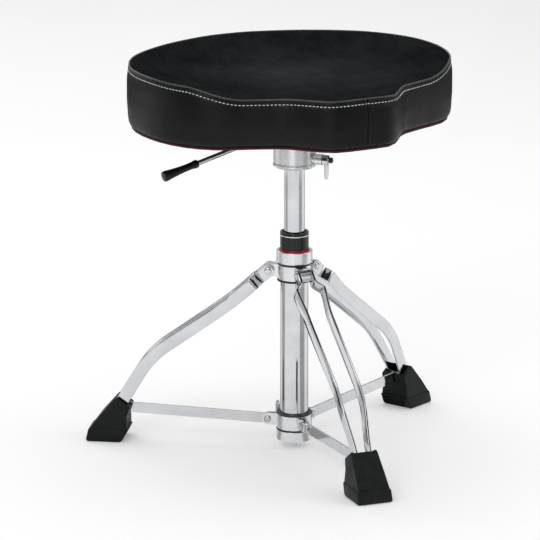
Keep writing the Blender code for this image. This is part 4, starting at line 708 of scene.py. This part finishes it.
def cushion_mesh(angles):
    """The sewn shape before it is stuffed, with the number of its rim ring and of the points in a ring."""
    wall_low = SEAT_BOTTOM + BOTTOM_RADIUS
    radii = [outline_radius(angle) for angle in angles]
    rims = [rim_height(angle) for angle in angles]

    def level(inset, height):
        return [seat_point(a, r - inset, height) for a, r in zip(angles, radii)]

    def wall(height_of):
        ring = []
        for a, r, rim in zip(angles, radii, rims):
            height = height_of(rim)
            share = max(0.0, min(1.0, (height - wall_low) / (rim - wall_low)))
            ring.append(seat_point(a, r - wall_inset(share) - START_SMALLER * sin(pi * share), height))
        return ring

    rings = [level(RECESS_INSET, RECESS_TOP), level(RECESS_INSET, SEAT_BOTTOM)]
    rings.append(level(BOTTOM_RADIUS, SEAT_BOTTOM))
    for turn in (30, 60, 90):
        lean = radians(turn)
        rings.append(level(BOTTOM_RADIUS * (1 - sin(lean)), SEAT_BOTTOM + BOTTOM_RADIUS * (1 - cos(lean))))
    for share in WALL_SHARES:
        rings.append(wall(lambda rim, s=share: wall_low + (rim - RIM_BAND - wall_low) * s))
    for drop in RIM_DROPS:
        rings.append(wall(lambda rim, d=drop: rim - d))
    rim_row = len(rings)
    rings.append([seat_point(a, r - 0.5 * RIM_INSET, rim) for a, r, rim in zip(angles, radii, rims)])
    for scale in TOP_SCALES:
        ring = []
        for a, r, rim in zip(angles, radii, rims):
            height = DISH_TOP + (rim - DISH_TOP) * scale**DISH_CURVE - START_SMALLER
            ring.append(seat_point(a, (r - RIM_INSET) * scale, height))
        rings.append(ring)
    count = len(angles)
    points = [point for ring in rings for point in ring]
    faces = tube_faces(count, len(rings))
    points += [seat_point(0.0, 0.0, RECESS_TOP), seat_point(0.0, 0.0, DISH_TOP - START_SMALLER)]
    under, over = len(points) - 2, len(points) - 1
    last = (len(rings) - 1) * count
    for step in range(count):
        after = (step + 1) % count
        faces.append((under, after, step))
        faces.append((over, last + step, last + after))
    mesh = mesh_from(points, faces, 60.0)
    for polygon in mesh.polygons:
        on_top = min(polygon.vertices) >= rim_row * count and under not in polygon.vertices
        polygon.material_index = 1 if on_top else 0
    return mesh, rim_row, count


def swell(obj, held):
    """Stuffs the cushion: cloth under pressure, with its seams held and its swelling capped."""
    rest = [vertex.co.copy() for vertex in obj.data.vertices]
    group = obj.vertex_groups.new(name="held")
    group.add(held, 1.0, "REPLACE")
    cloth = obj.modifiers.new("cloth", "CLOTH")
    cloth.settings.quality = 5
    cloth.settings.mass = 0.4
    cloth.settings.tension_stiffness = 25.0
    cloth.settings.compression_stiffness = 25.0
    cloth.settings.bending_stiffness = 2.0
    cloth.settings.use_pressure = True
    cloth.settings.uniform_pressure_force = SWELL_PRESSURE
    cloth.settings.vertex_group_mass = "held"
    cloth.settings.effector_weights.gravity = 0.0
    cloth.collision_settings.use_collision = False
    cloth.point_cache.frame_start = 1
    cloth.point_cache.frame_end = SWELL_FRAMES
    for step in range(1, SWELL_FRAMES + 1):
        bpy.context.scene.frame_set(step)
    graph = bpy.context.evaluated_depsgraph_get()
    swollen = [vertex.co.copy() for vertex in obj.evaluated_get(graph).data.vertices]
    obj.modifiers.remove(cloth)
    obj.vertex_groups.clear()
    bpy.context.scene.frame_set(1)
    moves = []
    for before, after in zip(rest, swollen):
        move = after - before
        far = move.length
        moves.append(move * (SWELL_CAP * (1 - exp(-far / SWELL_CAP)) / far) if far > 1e-9 else move)
    return rest, moves


def make_cushion():
    angles = cushion_columns()
    mesh, rim_row, count = cushion_mesh(angles)
    blank = bpy.data.objects.new("cushion_blank", mesh)
    bpy.context.scene.collection.objects.link(blank)
    held = list(range(6 * count)) + list(range(rim_row * count, (rim_row + 1) * count))
    held.append(len(mesh.vertices) - 2)
    rest, moves = swell(blank, held)

    # The fan of points at the dish's middle moves as one, so that it leaves no star.
    first = len(mesh.vertices) - 2 - FLAT_MIDDLE_ROWS * count
    even = sum((moves[index] for index in range(first, first + count)), Vector()) / count
    for index in range(first, len(mesh.vertices)):
        if index not in held:
            moves[index] = even.copy()
    for vertex, before, move in zip(mesh.vertices, rest, moves):
        vertex.co = before + move
    mesh.update()

    modifier = blank.modifiers.new("subdivision", "SUBSURF")
    modifier.levels = 1
    modifier.render_levels = 1
    graph = bpy.context.evaluated_depsgraph_get()
    fine = bpy.data.meshes.new_from_object(blank.evaluated_get(graph))
    bpy.data.objects.remove(blank, do_unlink=True)
    sew(fine)
    fine.shade_smooth()
    cushion = add_piece("saddle_cushion", fine, ["seat_vinyl", "seat_pile"], "seat")
    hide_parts("seat_cushion")
    return cushion


def bell(distance, width):
    return exp(-((distance / width) ** 2))


def sew(mesh):
    """Presses the topstitch line, its puckers and the upright seams into the walls."""
    wall_low = SEAT_BOTTOM + BOTTOM_RADIUS
    normals = [vertex.normal.copy() for vertex in mesh.vertices]
    for vertex, normal in zip(mesh.vertices, normals):
        if abs(normal.z) > 0.75 or vertex.co.z < wall_low - 0.004:
            continue
        angle = seat_angle(vertex.co)
        reach = (vertex.co.xy - Vector((0.0, COLUMN_Y))).length
        drop = rim_height(angle) - vertex.co.z
        waves = 1 + cos(2 * pi * angle * MEAN_REACH / PUCKER_PITCH)
        press = STITCH_PRESS[0] * bell(drop - STITCH_DROP, STITCH_PRESS[1])
        press += PUCKER_PRESS[0] * waves * bell(drop - STITCH_DROP, PUCKER_PRESS[1])
        for seam in SEAM_ANGLES:
            off = ((angle - seam + pi) % (2 * pi) - pi) * reach
            press += SEAM_PRESS[0] * bell(off, SEAM_PRESS[1])
            press -= SEAM_SHOULDER[0] * bell(abs(off) - SEAM_SHOULDER[1], SEAM_SHOULDER[2])
        vertex.co -= normal * press
    mesh.update()


def surface_of(obj):
    graph = bpy.context.evaluated_depsgraph_get()
    return BVHTree.FromObject(obj, graph)


def wall_point(tree, angle, drop):
    """The wall's own point and outward direction, a distance below the rim."""
    guess = seat_point(angle, outline_radius(angle) + 0.004, rim_height(angle) - drop)
    inward = seat_point(angle, 0.0, guess.z) - guess
    hit, normal, _, _ = tree.ray_cast(guess, inward.normalized())
    return (hit, normal) if hit else (guess, -inward.normalized())


def stitch_places(tree):
    """Points along the topstitch line, half a stitch's pitch apart."""
    samples = [wall_point(tree, turn, STITCH_DROP) for turn in around(STITCH_SAMPLES)]
    marks = [0.0]
    for (near, _), (far, _) in zip(samples, samples[1:] + samples[:1]):
        marks.append(marks[-1] + (far - near).length)
    total = marks[-1]
    stitches = round(total / STITCH_PITCH)
    pitch = total / stitches
    places = []
    index = 0
    for number in range(stitches):
        for shift in (0.0, STITCH_LENGTH):
            wanted = (number * pitch + shift) % total
            while not marks[index] <= wanted <= marks[index + 1]:
                index = (index + 1) % len(samples)
            part = (wanted - marks[index]) / (marks[index + 1] - marks[index])
            near, far = samples[index], samples[(index + 1) % len(samples)]
            places.append((near[0].lerp(far[0], part), near[1].lerp(far[1], part).normalized()))
    return list(zip(places[::2], places[1::2]))


def make_stitches(cushion):
    """Each stitch is a short bowed thread that dips into the vinyl at both ends."""
    sides = 6
    points = []
    faces = []
    stops = ((0.0, 0.35, -0.9), (0.10, 0.85, -0.1), (0.5, 1.0, 0.45), (0.90, 0.85, -0.1), (1.0, 0.35, -0.9))
    for (start, out), (end, _) in stitch_places(surface_of(cushion)):
        along = (end - start).normalized()
        across = out.cross(along).normalized()
        base = len(points)
        for share, size, lift in stops:
            middle = start.lerp(end, share) + out * (lift * STITCH_RADIUS)
            for angle in around(sides):
                ring = out * cos(angle) + across * sin(angle)
                points.append(middle + ring * (STITCH_RADIUS * size))
        faces += [tuple(base + index for index in face) for face in tube_faces(sides, len(stops))]
        faces.append(tuple(base + step for step in range(sides)))
        faces.append(tuple(base + (len(stops) - 1) * sides + step for step in range(sides)))
    add_piece("seat_topstitch", mesh_from(points, faces, 70.0), ["thread"], "seat")


def make_welt():
    """The thin vinyl welt in the seam between the pile top and the walls."""
    sides = 10
    centres = []
    for angle in around(WELT_STEPS):
        reach = outline_radius(angle) - 0.42 * RIM_INSET
        centres.append(seat_point(angle, reach, rim_height(angle) + 0.0002))
    points = []
    for index, centre in enumerate(centres):
        along = (centres[(index + 1) % WELT_STEPS] - centres[index - 1]).normalized()
        across = along.cross(Vector((0, 0, 1))).normalized()
        up = across.cross(along)
        for angle in around(sides):
            points.append(centre + (across * cos(angle) + up * sin(angle)) * WELT_RADIUS)
    mesh = mesh_from(points, tube_faces(sides, WELT_STEPS, True), 80.0)
    add_piece("seat_welt", mesh, ["welt_vinyl"], "seat")


# ---- leg bars ----
def rounded_path(corners, radii, steps=18):
    """The corners as a path whose inner corners are arcs of the given radii."""
    path = [Vector(corners[0])]
    for index, radius in enumerate(radii, start=1):
        here = Vector(corners[index])
        back = (Vector(corners[index - 1]) - here).normalized()
        ahead = (Vector(corners[index + 1]) - here).normalized()
        reach = radius / tan(back.angle(ahead) / 2)
        start = here + back * reach
        end = here + ahead * reach
        for step in range(steps + 1):
            share = step / steps
            path.append(start.lerp(here, share).lerp(here.lerp(end, share), share))
    path.append(Vector(corners[-1]))
    return path


def even_stations(path, pitch):
    """(distance, point) pairs at an even pitch along a path."""
    stations = [(0.0, path[0].copy())]
    run = 0.0
    for near, far in zip(path, path[1:]):
        length = (far - near).length
        steps = max(1, round(length / pitch))
        for step in range(1, steps + 1):
            stations.append((run + length * step / steps, near.lerp(far, step / steps)))
        run += length
    return stations


def bar_section(point, across, half_height, spread, side):
    """A flat bar's section with rolled edges."""
    edge = min(BAR_EDGE, 0.45 * half_height)
    section = []
    for up, out in rounded_rectangle(-half_height, half_height, BAR_THICKNESS / 2, edge, 3):
        place = point + across * up
        section.append((place.x, side * (spread + out), place.y))
    return section


def leg_bar(side_name, turn, label, side):
    """One S-bent bar with the peened head of its upper pivot."""
    pivot, bend, knee, pin = (Vector(place) for place in (LEG_PIVOT, LEG_BEND, LEG_KNEE, LEG_PIN))
    end = pin + (pin - knee).normalized() * BAR_END_PAST_PIN
    path = rounded_path([pivot, bend, knee, end], [BEND_RADIUS, KNEE_RADIUS])
    stations = even_stations(path, STATION_PITCH)
    total = stations[-1][0]
    bend_at = (bend - pivot).length
    knee_at = bend_at + (knee - bend).length
    pin_at = total - BAR_END_PAST_PIN
    stops = [
        (JOGGLE_START, PIVOT_SPREAD),
        (JOGGLE_END, JOGGLE_SPREAD),
        (bend_at, BEND_SPREAD),
        (knee_at, KNEE_SPREAD),
        (pin_at - PIN_HEAD_RADIUS, PIN_SPREAD),
        (total, PIN_SPREAD),
    ]
    half = BAR_HEIGHT / 2
    first = (stations[1][1] - stations[0][1]).normalized()
    sections = []
    for angle in (84, 72, 60, 48, 36, 24, 12):
        back = stations[0][1] - first * (half * sin(radians(angle)))
        across = Vector((-first.y, first.x))
        sections.append(bar_section(back, across, half * cos(radians(angle)), PIVOT_SPREAD, side))
    for index, (mark, point) in enumerate(stations):
        before = stations[max(index - 1, 0)][1]
        after = stations[min(index + 1, len(stations) - 1)][1]
        along = (after - before).normalized()
        across = Vector((-along.y, along.x))
        sections.append(bar_section(point, across, half, eased(mark, stops), side))
    count = len(sections[0])
    points = [point for section in sections for point in section]
    faces = tube_faces(count, len(sections))
    faces += [tuple(range(count)), tuple(range(len(points) - count, len(points)))]
    sides = 28
    base = PIVOT_SPREAD + BAR_THICKNESS / 2
    ring_start = len(points)
    for share, height in PIN_HEAD_PROFILE:
        for angle in around(sides):
            reach = PIN_HEAD_RADIUS * share
            x, z = LEG_PIVOT[0] + reach * cos(angle), LEG_PIVOT[1] + reach * sin(angle)
            points.append((x, side * (base + height), z))
    head_faces = tube_faces(sides, len(PIN_HEAD_PROFILE))
    faces += [tuple(ring_start + index for index in face) for face in head_faces]
    faces.append(tuple(range(len(points) - sides, len(points))))
    mesh = mesh_from(points, faces, 50.0)
    mesh.transform(about_column(turn))
    stand_in(f"leg_bar_{side_name}_{label}", "_bent", mesh)


# ---- feet ----
def rounded_rectangle(low, high, half, corner, steps=5):
    """Points round a rectangle from low to high along X and half to both sides."""
    points = []
    for x, y, start in ((high, half, 0), (low, half, 90), (low, -half, 180), (high, -half, 270)):
        middle = Vector((x - corner * (1 if x == high else -1), y - corner * (1 if y > 0 else -1)))
        for step in range(steps + 1):
            angle = radians(start + 90 * step / steps)
            points.append((middle.x + corner * cos(angle), middle.y + corner * sin(angle)))
    return points


def foot_band(side_name, turn):
    """The thicker band that runs round a foot's base."""
    rows = (
        (0.0006, 0.2),
        (0.0018, 0.8),
        (0.0034, 1.0),
        (0.5 * BAND_HIGH, 0.95),
        (BAND_HIGH - 0.0018, 0.90),
        (BAND_HIGH - 0.0006, 0.70),
        (BAND_HIGH - 0.0001, 0.35),
        (BAND_HIGH, -0.8),
    )
    points = []
    count = 0
    for height, stand in rows:
        out = BAND_STAND * stand
        rise = height / SLOPE_HEIGHT
        heel = FOOT_HEEL + HEEL_SLOPE * (1 - rise) - out
        toe = FOOT_TOE - TOE_SLOPE * rise + out
        half = FOOT_HALF_WIDTH - FOOT_SIDE_SLOPE * height + out
        ring = rounded_rectangle(heel, toe, half, FOOT_CORNER)
        count = len(ring)
        points += [(x, y, height) for x, y in ring]
    faces = tube_faces(count, len(rows))
    faces.append(tuple(range(count)))
    faces.append(tuple(range(len(points) - count, len(points))))
    mesh = mesh_from(points, faces, 60.0)
    mesh.transform(about_column(turn))
    add_piece("foot_band_" + side_name, mesh, ["foot_rubber"], "leg_" + side_name)


# ---- turned rings ----
def plain_ring(node, inner, edge):
    """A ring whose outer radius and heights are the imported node's own."""
    low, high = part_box(node)
    outer = (high.x - low.x) / 2
    turned_piece(node, [(inner, low.z), (outer, low.z), (outer, high.z), (inner, high.z)], edge)


def make_rings():
    tube = (COLUMN_HIGH.x - COLUMN_LOW.x) / 2
    sleeve = tube + RING_GAP
    spring_low, spring_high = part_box("gas_cylinder")
    spring = (spring_high.x - spring_low.x) / 2
    plain_ring("bottom_collar", sleeve, 0.0011)
    plain_ring("upper_bracket_washer_low", sleeve, 0.0005)
    plain_ring("upper_bracket_washer_high", sleeve, 0.0005)
    plain_ring("lower_bracket_washer_low", sleeve + 0.0002, 0.0004)
    plain_ring("lower_bracket_washer_high", sleeve + 0.0002, 0.0006)
    plain_ring("red_ring", tube - 0.0020, 0.0007)
    plain_ring("gas_cylinder", 0.0053, 0.0012)
    collar_low, collar_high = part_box("upper_collar")
    ring_low, ring_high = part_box("red_ring")
    ring_radius = (ring_high.x - ring_low.x) / 2 + RING_GAP
    collar = (collar_high.x - collar_low.x) / 2
    step = ring_low.z - RING_GAP
    turned_piece(
        "upper_collar",
        [
            (ring_radius, collar_high.z),
            (ring_radius, step),
            (sleeve, step),
            (sleeve, collar_low.z),
            (collar, collar_low.z),
            (collar, collar_high.z),
        ],
        0.0013,
    )
    low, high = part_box("gland_nut")
    trim_low, trim_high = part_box("gland_trim_ring")
    gland = (high.x - low.x) / 2
    trim = (trim_high.x - trim_low.x) / 2
    groove = trim - 0.0013
    bore = spring + 0.0006
    turned_piece(
        "gland_nut",
        [
            (bore, low.z),
            (gland, low.z),
            (gland, trim_low.z - RING_GAP),
            (groove, trim_low.z - RING_GAP),
            (groove, trim_high.z + RING_GAP),
            (gland, trim_high.z + RING_GAP),
            (gland, high.z),
            (bore + 0.0022, high.z),
            (bore, high.z - 0.0040),
        ],
        0.0007,
    )
    plain_ring("gland_trim_ring", groove + RING_GAP, 0.0003)


# ---- grip ----
def make_grip():
    """The lever's rubber grip: a small collar, a waist, and a flare to a flat end."""
    sides = 40
    drop = radians(LEVER_DROP)
    along = Vector((-cos(drop), 0.0, -sin(drop)))
    end = Vector((-LEVER_REACH, 0.0, LEVER_HEIGHT - (LEVER_REACH - LEVER_BEND_REACH) * tan(drop)))
    start = end - along * GRIP_PROFILE[-1][0]
    up = along.cross(Vector((0.0, 1.0, 0.0)))
    points = []
    for reach, radius in GRIP_PROFILE:
        for angle in around(sides):
            spoke = Vector((0.0, cos(angle), 0.0)) + up * sin(angle)
            points.append(start + along * reach + spoke * radius)
    faces = tube_faces(sides, len(GRIP_PROFILE))
    faces.append(tuple(range(len(points) - sides, len(points))))
    mesh = mesh_from(points, faces)
    mesh.transform(about_column(SEAT_TURN))
    stand_in("lever_grip", "_flared", mesh)


# ---- studio and camera ----
def add_floor():
    half = FLOOR_HALF
    corners = [(-half, -half, 0), (half, -half, 0), (half, half, 0), (-half, half, 0)]
    mesh = bpy.data.meshes.new("floor")
    mesh.from_pydata(corners, [], [(0, 1, 2, 3)])
    floor = bpy.data.objects.new("studio_floor", mesh)
    floor.location = (0, 0, -0.0002)
    bpy.context.scene.collection.objects.link(floor)
    finish = Finish("studio_floor", (0.94, 0.94, 0.94), 0.9)
    finish.set("Specular IOR Level", 0.1)
    finish.set("Emission Color", (1.0, 1.0, 1.0, 1.0))
    finish.set("Emission Strength", FLOOR_GLOW)
    mesh.materials.append(finish.material)


def add_softbox(name, place, size, power, target=(0.0, 0.04, 0.30)):
    light = bpy.data.lights.new(name, "AREA")
    light.shape = "RECTANGLE"
    light.size, light.size_y = size
    light.energy = power
    obj = bpy.data.objects.new(name, light)
    obj.location = place
    aim = Vector(target) - Vector(place)
    obj.rotation_euler = aim.to_track_quat("-Z", "Y").to_euler()
    bpy.context.scene.collection.objects.link(obj)


def reflected_only(mesh, shade):
    """A matte grey card that only reflections see: it casts no shadow, and the camera doesn't see it."""
    card = bpy.data.objects.new(mesh.name, mesh)
    bpy.context.scene.collection.objects.link(card)
    mesh.materials.append(Finish(mesh.name, (shade, shade, shade), 1.0).material)
    for seen in ("visible_camera", "visible_shadow", "visible_diffuse"):
        setattr(card, seen, False)
    return card


def add_dark_wedge(name, turn, half_width, near, far, shade):
    """A grey sector of the floor about the column, so that tubes and vinyl show darker bands."""
    points = []
    steps = 12
    for step in range(steps + 1):
        angle = radians(270 - CAMERA_AZIMUTH + turn + half_width * (2 * step / steps - 1))
        for reach in (near, far):
            points.append((reach * cos(angle), COLUMN_Y + reach * sin(angle), 0.0001))
    faces = [(2 * step, 2 * step + 1, 2 * step + 3, 2 * step + 2) for step in range(steps)]
    mesh = bpy.data.meshes.new(name)
    mesh.from_pydata(points, [], faces)
    reflected_only(mesh, shade)


def add_dark_card(name, place, size, target=(0.0, 0.0, 0.25)):
    """A dark square card that faces the object."""
    half = size / 2
    corners = [(-half, -half, 0), (half, -half, 0), (half, half, 0), (-half, half, 0)]
    mesh = bpy.data.meshes.new(name)
    mesh.from_pydata(corners, [], [(0, 1, 2, 3)])
    card = reflected_only(mesh, CARD_SHADE)
    card.location = place
    card.rotation_euler = (Vector(target) - Vector(place)).to_track_quat("Z", "Y").to_euler()


def add_world():
    world = bpy.data.worlds.new("studio")
    bpy.context.scene.world = world
    world.use_nodes = True
    tree = world.node_tree
    background = tree.nodes["Background"]
    place = tree.nodes.new("ShaderNodeTexCoord")
    split = tree.nodes.new("ShaderNodeSeparateXYZ")
    ramp = tree.nodes.new("ShaderNodeValToRGB")
    tree.links.new(place.outputs["Generated"], split.inputs["Vector"])
    tree.links.new(split.outputs["Z"], ramp.inputs["Fac"])
    tree.links.new(ramp.outputs["Color"], background.inputs["Color"])
    ramp.color_ramp.elements[0].position = 0.0
    ramp.color_ramp.elements[0].color = (0.84, 0.85, 0.87, 1.0)
    ramp.color_ramp.elements[1].position = 0.55
    ramp.color_ramp.elements[1].color = (1.0, 1.0, 1.0, 1.0)
    background.inputs["Strength"].default_value = WORLD_STRENGTH


def add_camera():
    data = bpy.data.cameras.new("camera")
    data.sensor_width = 36.0
    data.lens = CAMERA_LENS
    data.clip_end = 50.0
    camera = bpy.data.objects.new("camera", data)
    azimuth = radians(CAMERA_AZIMUTH)
    camera.location = (
        -CAMERA_DISTANCE * sin(azimuth),
        COLUMN_Y - CAMERA_DISTANCE * cos(azimuth),
        CAMERA_HEIGHT,
    )
    camera.rotation_euler = (radians(90 - CAMERA_TILT), 0, radians(-CAMERA_HEADING))
    bpy.context.scene.collection.objects.link(camera)
    bpy.context.scene.camera = camera


def add_studio():
    bpy.context.scene.view_settings.view_transform = "Standard"
    add_floor()
    add_world()
    add_softbox("key", (-2.4, -2.6, 2.6), (1.8, 1.8), 30.0)
    add_softbox("fill", (2.8, -1.6, 1.8), (1.4, 2.0), 12.0)
    add_softbox("top", (0.2, 0.6, 3.0), (2.4, 2.4), 20.0)
    add_softbox("back", (-0.8, 3.2, 1.9), (2.2, 1.4), 12.0)
    for index, (turn, half_width, shade) in enumerate(NEAR_WEDGES):
        add_dark_wedge(f"near_wedge_{index}", turn, half_width, *NEAR_REACH, shade)
    for index, (turn, half_width, shade) in enumerate(FAR_WEDGES):
        add_dark_wedge(f"far_wedge_{index}", turn, half_width, *FAR_REACH, shade)
    add_dark_card("joggle_card", JOGGLE_CARD, JOGGLE_CARD_SIZE)


# ---- everything ----
SHARP_EDGE = 32.0
REFINED_EDGES = {
    "column_tube": 0.0004,
    "seat_hub": 0.0006,
    "upper_leg_bracket": 0.0006,
    "lower_leg_bracket": 0.0006,
    "hub_clamp_bolt": 0.0005,
    "bracket_clamp_bolt": 0.0005,
    "clamp_bolt_cap": 0.0006,
    "release_lever": 0.0004,
    "underside_cover": 0.0010,
    "seat_plate": 0.0006,
}


def refine_all():
    edges = dict(REFINED_EDGES)
    for side_name in LEG_TURNS:
        edges["foot_" + side_name] = 0.0024
        edges["stay_" + side_name] = 0.0006
        edges["stay_pivot_pin_" + side_name] = 0.0004
    for number in range(1, 5):
        edges[f"plate_bolt_{number}"] = 0.0004
    for node, edge in edges.items():
        piece = refined_piece(node, edge)
        if node == "underside_cover":
            line_underside(piece)


def line_underside(cover):
    """The cover's edge is crimson, and its downward face is black cloth."""
    cover.data.materials.append(FINISHES["underside_black"])
    for polygon in cover.data.polygons:
        polygon.material_index = 1 if polygon.normal.z < -0.8 else 0


def finish_kept_nodes():
    for node, obj in frame["nodes"].items():
        obj.data.materials.clear()
        obj.data.materials.append(FINISHES[NODE_SLOTS[node]])


def main():
    add_camera()
    add_studio()
    finish_kept_nodes()
    make_rings()
    refine_all()
    for side_name, turn in LEG_TURNS.items():
        foot_band(side_name, turn)
        for label, side in BAR_SIDES.items():
            leg_bar(side_name, turn, label, side)
    cushion = make_cushion()
    make_stitches(cushion)
    make_grip()
    make_welt()


main()
